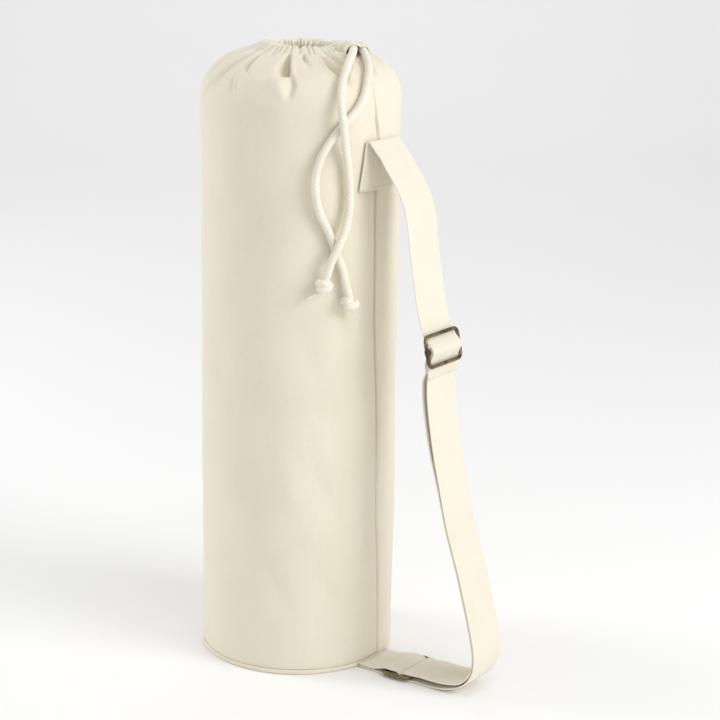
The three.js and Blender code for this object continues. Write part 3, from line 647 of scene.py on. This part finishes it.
front_nodes, back_nodes = ("drawcord_front", "knot_front"), ("drawcord_back", "knot_back")
front_lead = free_end("cord_front", *FRONT_CORD, front_nodes, *FRONT_KNOT, FRONT_FRAY)
back_lead = free_end("cord_back", *BACK_CORD, back_nodes, *BACK_KNOT, BACK_FRAY)


# The smooth canvas that the creases are pressed into

def seam_azimuth(z):
    share = np.clip(np.asarray(z, float) / BAG_HEIGHT, 0, 1)
    return np.interp(share, [s for s, _ in SEAM_COURSE], [a for _, a in SEAM_COURSE])


def smooth_point(azimuth, place):
    """Points of the smooth outer canvas between the hem and the foot."""
    angle = np.radians(LAST_DOME * np.clip(1 - place, 0, 1))
    r = neck_radius + (BAG_RADIUS - neck_radius) * np.cos(angle) ** DOME_ROUND
    z = dome_foot + (DOME_HEIGHT - RIM_STANDS) * np.sin(angle) ** DOME_ROUND
    z = z - DOME_HEIGHT * np.clip(place - 1, 0, None)
    return polar(r, np.radians(azimuth), z)


# How far the canvas is tucked in at its foot, and how high up that fades
FOOT_TUCK, FOOT_FADE = 1.2, 2.5


# Profile rows hold a radius, a height, the place, the outward lean in radians, and how strongly
# the gathers show

def side_rows(heights, inset):
    tuck = FOOT_TUCK * np.exp(-(heights - side_foot) / FOOT_FADE)
    place = 1 + (dome_foot - heights) / DOME_HEIGHT
    none = np.zeros_like(heights)
    return np.stack([BAG_RADIUS - tuck - inset, heights, place, none, none], 1)


def dome_rows(angles, inset):
    turn = np.radians(angles)
    r = neck_radius + (BAG_RADIUS - neck_radius - inset) * np.cos(turn) ** DOME_ROUND
    z = dome_foot + (DOME_HEIGHT - RIM_STANDS - inset) * np.sin(turn) ** DOME_ROUND
    place = 1 - angles / LAST_DOME
    return np.stack([r, z, place, turn, 0.5 * np.exp(-place / 0.07)], 1)


def casing_rows(angles, inset):
    turn = np.radians(angles)
    r = CASING_RADIUS + (TUNNEL_ACROSS + CANVAS - inset) * np.cos(turn)
    z = casing_height + (TUNNEL_UP + CANVAS - inset) * np.sin(turn)
    shows = 0.5 + 0.5 * smoothstep(angles, 60, 110) * (1 - smoothstep(angles, 235, 285))
    return np.stack([r, z, np.zeros_like(r), turn, shows], 1)


def hem_rows(shares, inset):
    r, z = casing_rows(np.array([305.0]), inset)[0, :2]
    shares = np.asarray(shares, float)
    none = np.zeros_like(shares)
    return np.stack([r + HEM_LAP * shares, z + HEM_RISE * shares**2, none, none, none + 0.3], 1)


# Creases, gathers and slack

def crease_depth(azimuth, place):
    """How deep the creases press the canvas in at azimuths and places."""
    azimuth, place = np.broadcast_arrays(azimuth, place)
    depth = np.zeros(azimuth.shape)
    for rows in CREASES:
        line = catmull(rows, 7)
        path = smooth_point(line[:, 0], line[:, 1])
        reach = np.abs(turn_between(azimuth, line[:, 0].mean())) < 45
        reach &= (place > 0) & (place < line[:, 1].max() + 0.8)
        at, here = azimuth[reach], smooth_point(azimuth[reach], place[reach])
        start, step = path[:-1], np.diff(path, axis=0)
        share = np.einsum("pmk,mk->pm", here[:, None] - start, step) / (step**2).sum(1)
        share = np.clip(share, 0, 1)
        gap = np.linalg.norm(here[:, None] - start - share[..., None] * step, axis=2)
        near = gap.argmin(1)
        which = np.arange(len(near))
        position = near + share[which, near]
        course, _, deep, left, right = (np.interp(position, np.arange(len(line)), c) for c in line.T)
        on_right = turn_between(at, course) > 0
        aside = gap[which, near]
        width = np.maximum(np.where(on_right, right, left), 0.5)
        trough = np.exp(-((aside / width) ** 1.8))
        narrow, wide = np.minimum(left, right), np.maximum(left, right)
        stands = 0.2 * (wide - narrow) / (wide + narrow)
        steep_side = on_right == (right < left)
        lip = stands * bell(aside, 1.7 * narrow + 0.8, narrow + 0.8) * steep_side
        depth[reach] += deep * (trough - lip * (deep > 0))
    return depth


# The gathers round the hem, and the azimuth beside the cords where they lie flatter
PLEATS = 43
CALM_FACES = 8


def pleat_shape(azimuth):
    """The gathers of the hem, near 1 on a puff and below 0 in the slit between two."""
    turn = np.radians(azimuth)
    phase = PLEATS * turn / (2 * np.pi) + 0.3 * np.sin(5 * turn + 0.8) + 0.2 * np.sin(11 * turn + 2.1)
    phase = phase + 0.12 * np.sin(17 * turn)
    aside = np.abs(phase - np.round(phase))
    crown = np.cos(np.pi * aside) ** 0.7
    slit = bell(aside, 0.5, 0.12)
    tall = 0.8 + 0.2 * np.sin(9 * turn + 1.3) + 0.2 * np.sin(23 * turn + 0.4)
    calm = 1 - 0.75 * bell(turn_between(azimuth, CALM_FACES), 0, 20)
    return calm * (crown * tall - 1.1 * slit - 0.35)


# How deep the gathers and the slow swells are, and the swells: how many go round the bag, how far
# apart they are up it, and their two phases
PUFF_DEPTH, SLACK_DEPTH = 1.9, 0.8
SWELLS = [
    (rng.integers(1, 9), rng.uniform(90, 340), rng.uniform(0, 6.28), rng.uniform(0, 6.28))
    for _ in range(14)
]


def slack(azimuth, z):
    """Slow swells and hollows of the filled canvas."""
    turn = np.radians(azimuth)
    total = 0
    for count, long, a, b in SWELLS:
        drift = 0.9 * np.sin(z / long + b)
        total = total + np.sin(count * turn + a + drift) * np.sin(2 * np.pi * z / long + b)
    return total / math.sqrt(len(SWELLS))


# The rim's dip behind, its hump in the middle there, and its dip where the cords come out
BACK_DIP, BACK_HUMP, SLEEVE_DIP, SLEEVE_FACES = 5.8, 2.2, 1.2, -6


def rim_sink(azimuth):
    """How far the rim dips: in front, more behind, and where the cords come out."""
    front = (1 + np.cos(np.radians(azimuth - DIP_FACES))) / 2
    hump = bell(turn_between(azimuth, DIP_FACES + 180), 0, 7)
    sleeve = bell(turn_between(azimuth, SLEEVE_FACES), 0, 16)
    return RIM_DIP * front**2 + BACK_DIP * (1 - front) ** 2 - BACK_HUMP * hump + SLEEVE_DIP * sleeve


# Beside the seam: the depth, the place in degrees to its right, and the width of its groove, of
# the canvas rolled in on its left and of the canvas that stands on its right
SEAM_GROOVE, SEAM_ROLL, SEAM_PROUD = (5.4, 0, 0.6), (2.4, -6, 6), (0.9, 2.4, 2.2)


def canvas_surface(rows, offsets):
    """Points of the canvas for profile rows, at columns turned from the side seam by offsets."""
    r, z, place, lean, gathers = (rows[:, k : k + 1] for k in range(5))
    azimuth = offsets[None, :] + seam_azimuth(z)
    aside = turn_between(offsets[None, :], 0) + 0 * z
    below_hem = smoothstep(place, 0.0, 0.05)

    # the side seam, deeper past the shoulder and deepest on the upper half of the side
    pulled = smoothstep(place, 0.05, 0.2) * (0.25 + 0.25 * smoothstep(place, 0.7, 1.6))
    pulled = pulled + 0.5 * smoothstep(z, 190, 290) * smoothstep(place, 1.0, 1.6)
    profile = (SEAM_GROOVE, SEAM_ROLL, SEAM_PROUD)
    groove, rolled, proud = (deep * bell(aside, at, wide) for deep, at, wide in profile)
    seam = pulled * (groove + smoothstep(place, 0.8, 1.4) * (rolled - proud))

    calm = smoothstep(z, side_foot, side_foot + 50)
    loose = SLACK_DEPTH * calm * slack(azimuth, z)
    inward = below_hem * (crease_depth(azimuth, place) + seam + loose)
    inward = inward - PUFF_DEPTH * pleat_shape(azimuth) * gathers
    turn = np.radians(azimuth)
    frill = 0.9 * np.sin(3 * turn + 0.4) + 0.7 * np.sin(7 * turn + 2.0)
    frill = frill * (place <= 0) * np.clip(np.sin(lean), 0, 1)
    sink = rim_sink(azimuth) * np.clip(1 - place / DIP_REACH, 0, 1)
    out = r - inward * np.cos(lean)
    up = z - inward * np.sin(lean) - sink + 0.6 * frill
    return polar(out, turn, up)


def bag_skin():
    """The whole canvas tube as one closed wall, folded in at the hem."""
    stretches = [(-4, -1.2, 8), (-1.2, 1.2, 18), (1.2, 4, 8), (4, 356, 396)]
    offsets = np.concatenate([np.linspace(*stretch, endpoint=False) for stretch in stretches])
    foot = side_foot + np.array([0, 0.6, 1.4, 2.6, 4.4, 7.0])
    heights = np.concatenate([foot, np.linspace(20, dome_foot, 68, endpoint=False)])
    outer = [
        side_rows(heights, 0),
        dome_rows(np.linspace(0, LAST_DOME, 62), 0),
        casing_rows(np.concatenate([[56, 66, 76, 86], np.linspace(96, 305, 26)]), 0),
        hem_rows([0.3, 0.65, 1], 0),
    ]
    inner = [
        hem_rows([1, 0.5], CANVAS),
        casing_rows(np.linspace(305, 60, 12), CANVAS),
        dome_rows(np.linspace(LAST_DOME, 2, 18), CANVAS),
        side_rows(np.linspace(dome_foot - 20, side_foot, 9), CANVAS),
    ]
    rows = np.vstack(outer + inner)
    rings = canvas_surface(rows, offsets)
    steps = np.linalg.norm(np.diff(rows[:, :2], axis=0, append=rows[:1, :2]), axis=1)
    v = np.concatenate([[0], np.cumsum(steps)])
    u = np.radians(np.append(offsets, stretches[-1][1])) * BAG_RADIUS
    return lofted("bag_body", rings, u, v[:, None], canvas, through=True)


def open_mouth(body, mouth, exit_points, strand):
    """Cuts the canvas where a cord passes out."""
    points = np.array([*exit_points, mouth, *strand[:3]]) / MM
    line = evenly(catmull(points, 8), 1.0)
    cutter = tube("cutter", line, CORD_DIAMETER / 2 + MOUTH_ROOM, 24, canvas)
    change = body.modifiers.new("mouth", "BOOLEAN")
    change.operation = "DIFFERENCE"
    change.solver = "EXACT"
    change.object = cutter
    bpy.context.view_layer.objects.active = body
    bpy.ops.object.modifier_apply(modifier=change.name)
    bpy.data.objects.remove(cutter)


bag_body = bag_skin()
open_mouth(bag_body, *FRONT_CORD)
open_mouth(bag_body, *BACK_CORD)
dress(bag_body, "canvas", "body_panel")


def held_cord():
    """The cord inside the hem, from the front mouth round the neck to the back one."""
    azimuths = np.radians(np.arange(-30, -311, -10))
    front_dip = ((1 + np.cos(azimuths - math.radians(DIP_FACES))) / 2) ** 2
    heights = casing_height - RIM_DIP * front_dip
    around = polar(CASING_RADIUS, azimuths, heights)
    front, back = np.array([FRONT_MOUTH, BACK_MOUTH]) / MM
    points = [front, front - MOUTH_LEAD * front_lead, *(np.array(FRONT_EXIT)[::-1] / MM), *around]
    points += [*(np.array(BACK_EXIT) / MM), back - MOUTH_LEAD * back_lead, back]
    line = evenly(catmull(points, 6), 1.2)
    return tube("cord_in_hem", line, CORD_DIAMETER / 2, 28, cotton_cord, plaited)


dress(held_cord(), "cord", "drawcord_loop")


# The canvas drawn over both cords where they come out: what its middle lines add to each cord's
# own points, which is three points below the rim and one past its end
HOOD_FRONT = [(38, -7.6, 624.6), (39.3, -4.6, 625.9), (43.4, 1.2, 629), (70.6, -11.4, 629.7)]
HOOD_BACK = [(35, 21.2, 625.2), (37.6, 19.2, 626.4), (39.6, 17.8, 628), (74.6, 2.8, 627.9)]
HOOD_OVER = CORD_DIAMETER / 2 + MOUTH_ROOM
HOOD_WALL = 1.0
HOOD_SLOPE = 1.1

# How far it reaches beside the front cord and beyond the back one, and how deep its sides dip
# over which share of its width
HOOD_NEAR, HOOD_FAR = 10.5, [3.0, 10.0]
HOOD_DIP, HOOD_SIDE = 9.0, 0.2


def hood_line(added, mouth, exit_points, strand):
    """The hood's middle line over one cord."""
    middle = np.array([exit_points[-1], mouth, *strand[:3]]) / MM
    return catmull([*added[:3], *middle, added[3]], 8)


def draped(points, course):
    """Heights of cloth lying over a cord's course and sloping away beside it."""
    aside = np.linalg.norm(points[..., None, :2] - course[:, :2], axis=-1)
    soft = HOOD_SLOPE * HOOD_OVER
    fall = HOOD_SLOPE * soft * (np.sqrt(1 + (aside / soft) ** 2) - 1)
    return (course[:, 2] + HOOD_OVER - fall).max(-1)


def cord_hood():
    """The hood, which dips into the canvas on both sides."""
    front, back = hood_line(HOOD_FRONT, *FRONT_CORD), hood_line(HOOD_BACK, *BACK_CORD)
    share = np.linspace(0, 1, len(front))
    heading = unit(np.gradient(front, axis=0)[:, :2])
    near = front[:, :2] + np.stack([heading[:, 1], -heading[:, 0]], 1) * HOOD_NEAR
    far = back[:, :2] + HOOD_FAR
    across = np.linspace(0, 1, 46)
    plan = near[:, None] * (1 - across)[:, None] + far[:, None] * across[:, None]
    over_front, over_back = draped(plan, evenly(front, 0.8)), draped(plan, evenly(back, 0.8))
    height = np.logaddexp(over_front * HOOD_SLOPE, over_back * HOOD_SLOPE) / HOOD_SLOPE + HOOD_WALL
    turn = np.arctan2(plan[..., 1], plan[..., 0])
    height += 0.15 * np.sin(9 * turn + 18 * share[:, None])
    level = smoothstep(across, 0, HOOD_SIDE) * smoothstep(1 - across, 0, HOOD_SIDE)
    height -= HOOD_DIP * (1 - level)
    top = np.concatenate([plan, height[..., None]], 2)
    rings = np.concatenate([top, top[:, ::-1] - [0, 0, HOOD_WALL]], 1)
    v = np.arange(rings.shape[1] + 1) * 0.8
    return lofted("cord_hood", rings, share[:, None] * 36, v, canvas, caps=True)


dress(cord_hood(), "canvas")


# The round bottom

def bottom_skin():
    """The bottom's disc and its low welted wall."""
    count = 288
    welt, inside = BAG_RADIUS - 2, BAG_RADIUS - BASE_WELT
    low, high = np.radians(np.linspace(-90, 0, 9)), np.radians(np.linspace(11, 90, 8))
    profile = [(BAG_RADIUS * share, 0) for share in (0.01, 0.4, 0.75, 0.94)]
    profile += [(welt + 2.1 * math.cos(a), 2 + 2 * math.sin(a)) for a in low]
    profile += [(welt + 0.6 + 1.5 * math.cos(a), 3.4 + 1.55 * math.sin(a)) for a in high]
    profile += [(inside, 4.95), (inside, 3), (inside - 0.6, CANVAS + 0.1)]
    profile += [(BAG_RADIUS * share, CANVAS) for share in (0.9, 0.5, 0.01)]
    profile = np.array(profile)
    turn = 2 * np.pi * np.arange(count) / count
    wave = 0.22 * np.sin(5 * turn + 1) + 0.14 * np.sin(13 * turn)
    r = profile[:, :1] + wave * smoothstep(profile[:, :1], 0.95 * BAG_RADIUS, BAG_RADIUS)
    rings = polar(r, turn, profile[:, 1:])
    u = np.linspace(0, 2 * np.pi * BAG_RADIUS, count + 1)
    return lofted("bag_bottom", rings, u, lengths(profile)[:, None], canvas, caps=True)


dress(bottom_skin(), "canvas", "base_panel")


# Strap and tab

over_bar = WIRE / 2 + GAP + WEBBING / 2
next_layer = WEBBING + GAP
floor_lay = WEBBING / 2 + GAP
behind_bar = over_bar + GAP
slider_lean = math.radians(SLIDER_LEAN)
slider_centre = np.array([BAG_RADIUS + SLIDER_OUT * STRAP_REACH, 0, SLIDER_UP * STRAP_TOP])
slider_down = np.array([math.sin(slider_lean), 0, -math.cos(slider_lean)])
slider_out = np.array([-slider_down[2], 0, slider_down[0]])
buckle_centre = np.array([BAG_RADIUS + TAB_LENGTH, 0, over_bar + floor_lay])
far_bar = buckle_centre + [BAR_PITCH, 0, 0]
near_bar = buckle_centre - [BAR_PITCH, 0, 0]


def on_plane(x, z):
    return np.array([x, 0.0, z])


def arc(centre, radius, start, end, steps):
    turn = np.radians(np.linspace(start, end, steps + 1))
    return [on_plane(centre[0] + radius * math.cos(a), centre[2] + radius * math.sin(a)) for a in turn]


def near_slider(down, out):
    return slider_centre + slider_down * down + slider_out * out


def round_bar(bar, radius, start, end, steps):
    turn = np.radians(np.linspace(start, end, steps + 1))
    return [near_slider(bar * BAR_PITCH + radius * math.sin(a), radius * math.cos(a)) for a in turn]


def course_point(row):
    return on_plane(BAG_RADIUS + row[0] * STRAP_REACH, max(row[1] * STRAP_TOP, floor_lay))


def squares(route):
    """Directions square to a route in the XZ plane."""
    route = np.asarray(route)
    along = unit(np.vstack([route[1:], route[-1:]]) - np.vstack([route[:1], route[:-1]]))
    return np.stack([-along[:, 2], 0 * along[:, 0], along[:, 0]], 1)


def strap_route():
    """The strap's middle line from its sewn tail to its sewn end, and its shift along Y."""
    tail_x = BAG_RADIUS + TAIL_GAP + WEBBING / 2
    tail = [on_plane(tail_x, STRAP_TOP - TAIL_LENGTH * share) for share in (1, 0.5)]
    fold = arc(on_plane(tail_x + FOLD_RADIUS, STRAP_TOP), FOLD_RADIUS, 180, 35, 6)
    weave = math.degrees(math.asin((behind_bar + over_bar + next_layer) / BAR_PITCH))
    wave = round_bar(-1, behind_bar, 180, 180 - weave, 2)
    wave += round_bar(0, over_bar + next_layer, -weave, weave, 4)
    wave += round_bar(1, behind_bar, 180 + weave, 180, 2)
    upper = [course_point(row) for row in UPPER_COURSE]
    lower = [wave[-1], *[course_point(row) for row in LOWER_COURSE], on_plane(far_bar[0], floor_lay)]
    turn_radius = over_bar - GAP / 2
    turn_x = buckle_centre[0] + over_bar + next_layer + turn_radius
    turn = arc(on_plane(turn_x, floor_lay + turn_radius), turn_radius, -90, -270, 8)
    square = squares(lower)
    room = [next_layer + row[2] * WEBBING for row in LOWER_COURSE]
    back = [lower[k + 1] - square[k + 1] * room[k] for k in range(len(room))][::-1]
    sewn = behind_bar + 2 * next_layer
    inner = [
        on_plane(far_bar[0], far_bar[2] + over_bar),
        *back,
        near_slider(BAR_PITCH + 2 * SLIDER_EASE, -sewn),
        near_slider(BAR_PITCH - SLIDER_EASE, -sewn),
        near_slider(over_bar + SLIDER_EASE, -over_bar - next_layer / 2),
    ]
    end = round_bar(0, over_bar, -180, weave, 10)
    end += round_bar(1, behind_bar + next_layer, 180 + weave, 180, 2)
    end += [near_slider(BAR_PITCH + SEWN_END, -behind_bar - next_layer)]
    route = [*tail, *fold, *upper, *wave, *lower[1:], *turn, *inner, *end]
    shifts = np.zeros(len(route))
    shifts[:2] = (-TAIL_LEAN, -TAIL_LEAN / 2)
    return np.array(route), shifts


def tab_route():
    """The tab's middle line: out over the buckle's near bar, round its centre bar and back."""
    root = BAG_RADIUS + 2 * GAP
    upper = [
        on_plane(root, floor_lay + next_layer + TAB_LIFT),
        on_plane((root + near_bar[0]) / 2, floor_lay + next_layer + TAB_LIFT / 2),
        on_plane(near_bar[0] - TAB_RAMP, near_bar[2] + over_bar / 2),
        on_plane(near_bar[0], near_bar[2] + over_bar),
        on_plane((near_bar[0] + buckle_centre[0]) / 2, buckle_centre[2] + over_bar),
    ]
    under = [
        on_plane(near_bar[0], floor_lay),
        on_plane((root + near_bar[0]) / 2, floor_lay),
        on_plane(root, floor_lay + TAB_LIFT / 2),
    ]
    route = np.array([*upper, *arc(buckle_centre, over_bar, 90, -90, 8), *under])
    return route, np.zeros(len(route))


def lay_on_bag(points):
    """Bends what lies against the bag round it."""
    x, y = points[..., 0], points[..., 1]
    hug = np.clip(1 - (x - BAG_RADIUS - WEBBING) / HUG_DEPTH, 0, 1)
    bent = points.copy()
    bent[..., 0] = x - hug * (x - np.sqrt(np.maximum(x**2 - y**2, 0)))
    return bent


def tape_section():
    """Places across and out of a webbing's section, once round, with soft selvedges."""
    half, soft = WEBBING_WIDTH / 2, 0.9
    flat = np.linspace(-half + soft, half - soft, 25)
    edge = np.radians([-60, -30, 0, 30, 60])
    across = [flat, half - soft + soft * np.cos(edge), flat[::-1], -half + soft - soft * np.cos(edge)]
    out = [-np.ones(25), np.sin(edge), np.ones(25), -np.sin(edge)]
    return np.concatenate(across), np.concatenate(out) * WEBBING / 2


def tape(name, route, shifts, life=0.0):
    """Webbing along a route in the XZ plane. life is how far it cups and wavers."""
    steps = 5
    line = catmull(route, steps)
    shift = np.interp(np.arange(len(line)) / steps, np.arange(len(route)), shifts)
    across, out = tape_section()
    along = lengths(line)
    cup = life * (np.sin(along / 47.0) * 0.6 + np.sin(along / 21.0 + 1) * 0.4)
    bowed = cup[:, None] * (0.5 - (across / (WEBBING_WIDTH / 2)) ** 2)
    rings = line[:, None] + squares(line)[:, None] * (out + bowed)[..., None]
    rings[..., 1] += across + shift[:, None]
    u = np.append(across, across[0]) + WEBBING_WIDTH
    return lofted(name, lay_on_bag(rings), u, along[:, None], cotton_webbing, caps=True)


dress(tape("strap_webbing", *strap_route(), life=0.25), "webbing", "strap")
dress(tape("tab_webbing", *tab_route()), "webbing", "strap_tab")


# Metal adjusters

HALF_WIDE = WEBBING_WIDTH / 2 + FRAME_ROOM + WIRE / 2
CRIMP_LONG, CRIMP_OVER = 6.0, 0.55


def wire_frame(name):
    """A closed wire rectangle with rounded corners, lying in the XY plane."""
    reach = np.array([BAR_PITCH, HALF_WIDE, 0]) - [FRAME_CORNER, FRAME_CORNER, 0]
    line = []
    for k, corner in enumerate(((1, 1), (-1, 1), (-1, -1), (1, -1))):
        turn = np.radians(np.linspace(0, 90, 13) + 90 * k)
        centre = reach * [*corner, 0]
        line += [centre + FRAME_CORNER * np.array([math.cos(a), math.sin(a), 0]) for a in turn]
    step, sides = 1.2, 24
    line = evenly(line + line[:1], step)[:-1]
    along = unit(np.roll(line, -1, 0) - np.roll(line, 1, 0))
    outward, up = np.cross(along, [0, 0, 1.0]), np.array([0, 0, 1.0])
    angle = -2 * np.pi * np.arange(sides) / sides
    spokes = outward[:, None] * np.cos(angle)[:, None] + up * np.sin(angle)[:, None]
    u = np.pi * WIRE * np.arange(sides + 1) / sides
    v = np.arange(len(line) + 1)[:, None] * step
    return lofted(name, line[:, None] + spokes * WIRE / 2, u, v, brass, through=True)


def centre_bar(name):
    """The bar between the frame's sides, with its ends crimped round them."""
    reach = HALF_WIDE - WIRE / 2 - 0.4
    bar = [(0, y, 0) for y in np.linspace(-reach, reach, 14)]
    parts = [tube(name, bar, WIRE / 2 - 0.05, 24, brass)]
    along = np.linspace(-CRIMP_LONG / 2, CRIMP_LONG / 2, 13)
    bulge = WIRE / 2 + CRIMP_OVER * (1 - (2 * along / CRIMP_LONG) ** 6)
    for side in (-1, 1):
        sleeve = [(x, side * HALF_WIDE, 0) for x in along]
        parts.append(tube(f"{name}_crimp_{side}", sleeve, bulge, 24, brass))
    return joined(name, parts)


def adjuster(name, centre, turn, frame_node, bar_node):
    """A wire frame and its bar, set at its place on the part."""
    place = Matrix.Translation(Vector(centre) * MM) @ Matrix.Rotation(turn, 4, "Y")
    for piece, node in ((wire_frame(name + "_wire"), frame_node), (centre_bar(name + "_bar"), bar_node)):
        piece.data.transform(place)
        dress(piece, "antique_brass", node)


adjuster("upper", slider_centre, math.radians(90) - slider_lean, "slider_frame", "slider_bar")
adjuster("lower", buckle_centre, 0, "lower_buckle_frame", "lower_buckle_bar")


# Stitching

STITCH, STITCH_PITCH, THREAD = 2.1, 3.0, 0.3


def stitches(name, rows):
    """Sewn rows. Each is a line of points with outward directions beside it."""
    lift = np.array([-0.35, 0.08, 0.14, 0.08, -0.35])[:, None]
    wide = THREAD * np.array([0.7, 1, 1, 1, 0.7])
    parts = []
    for row, (points, outward) in enumerate(rows):
        along = lengths(points)
        for k, start in enumerate(np.arange(0.4, along[-1] - STITCH, STITCH_PITCH)):
            at = start + STITCH * np.array([0, 0.2, 0.5, 0.8, 1])
            middle = np.stack([np.interp(at, along, points[:, i]) for i in range(3)], 1)
            out = np.stack([np.interp(at, along, outward[:, i]) for i in range(3)], 1)
            parts.append(tube(f"{name}_{row}_{k}", middle + out * lift, wide, 6, sewing_thread))
    return joined(name, parts)


def tail_rows():
    """Where the strap's tail is sewn down: along its end and up both edges."""
    face, inset = BAG_RADIUS + TAIL_GAP + WEBBING, 3.0
    low, half = STRAP_TOP - TAIL_LENGTH + inset, WEBBING_WIDTH / 2 - inset
    foot = [(face, y - TAIL_LEAN + 0.5, low) for y in np.linspace(-half, half, 30)]
    rows = [foot]
    for side in (-1, 1):
        heights = np.linspace(low, STRAP_TOP - 8, 20)
        shifts = -TAIL_LEAN * (STRAP_TOP - heights) / TAIL_LENGTH
        rows.append([(face, side * half + s, h) for h, s in zip(heights, shifts)])
    laid = [lay_on_bag(np.array(row)) for row in rows]
    return [(p, unit(p * [1, 1, 0])) for p in laid]


dress(stitches("tail_stitches", tail_rows()), "webbing")


# Floor and light

# The floor's reach to each side, and in front and behind to its bend, the bend's radius, and the
# height that the floor rises to behind
FLOOR_SIDE, FLOOR_REACH, FLOOR_BEND, WALL_TOP = 6000, 3000, 1200, 6000

# Each lamp: its name, its turn to the camera's right and its elevation in degrees, how far away it
# is, its size, its power, and how far behind the bag it aims
LAMPS = [
    ("key", 58, 26, 2.6, 1.5, 33, 0),
    ("rim", -108, 18, 2.6, 1.2, 22, 0),
    ("top", 20, 68, 2.4, 0.7, 5, 0),
    ("backdrop", 180, 85, 2.6, 3.0, 15, 3.2),
]
BAG_MIDDLE = (0.05, 0, 0.32)
WORLD_LIGHT = 0.62


def floor():
    """A pale floor that curves up behind."""
    bend = [(math.sin(a), 1 - math.cos(a)) for a in np.linspace(0, math.pi / 2, 24)]
    rise = [(FLOOR_REACH + FLOOR_BEND * y, FLOOR_BEND * z) for y, z in bend]
    profile = [(-FLOOR_REACH, 0), *rise, (FLOOR_REACH + FLOOR_BEND, WALL_TOP)]
    turn = Matrix.Rotation(math.radians(CAMERA_AZIMUTH), 4, "Z")
    verts = [tuple(turn @ Vector((x, y, z))) for y, z in profile for x in (-FLOOR_SIDE, FLOOR_SIDE)]
    faces = [(2 * k, 2 * k + 1, 2 * k + 3, 2 * k + 2) for k in range(len(verts) // 2 - 1)]
    n = Nodes("floor")
    colour = n.ramp(n.noise(n.place(), 1.5), 0.0, (0.92,) * 3, 1.0, (0.94,) * 3)
    paper = n.finish({"Base Color": colour, "Roughness": 0.95, "Specular IOR Level": 0.1})
    thing = mesh_object("floor", verts, faces, np.zeros((4 * len(faces), 2)), paper)


def lamp(name, right_of_camera, elevation, away, size, power, behind):
    """A round soft light that faces the bag, or a place on the floor behind it."""
    data = bpy.data.lights.new(name, "AREA")
    data.shape = "DISK"
    data.size = size
    data.energy = power
    azimuth, height = math.radians(CAMERA_AZIMUTH + right_of_camera), math.radians(elevation)
    turned, level = math.radians(CAMERA_AZIMUTH), math.cos(height)
    aim = Vector(BAG_MIDDLE)
    if behind:
        aim = Vector((-math.sin(turned), math.cos(turned), 0)) * behind
    way = Vector((math.sin(azimuth) * level, -math.cos(azimuth) * level, math.sin(height)))
    place = aim + way * away
    facing = (aim - place).to_track_quat("-Z", "Y").to_matrix().to_4x4()
    linked(name, data).matrix_world = Matrix.Translation(place) @ facing


def studio():
    """The floor, the lamps and an even white light all round."""
    floor()
    for row in LAMPS:
        lamp(*row)
    world = bpy.data.worlds.new("studio")
    world.use_nodes = True
    world.node_tree.nodes["Background"].inputs[0].default_value = (1, 1, 1, 1)
    world.node_tree.nodes["Background"].inputs[1].default_value = WORLD_LIGHT
    bpy.context.scene.world = world
    bpy.context.scene.view_settings.view_transform = "Standard"


studio()
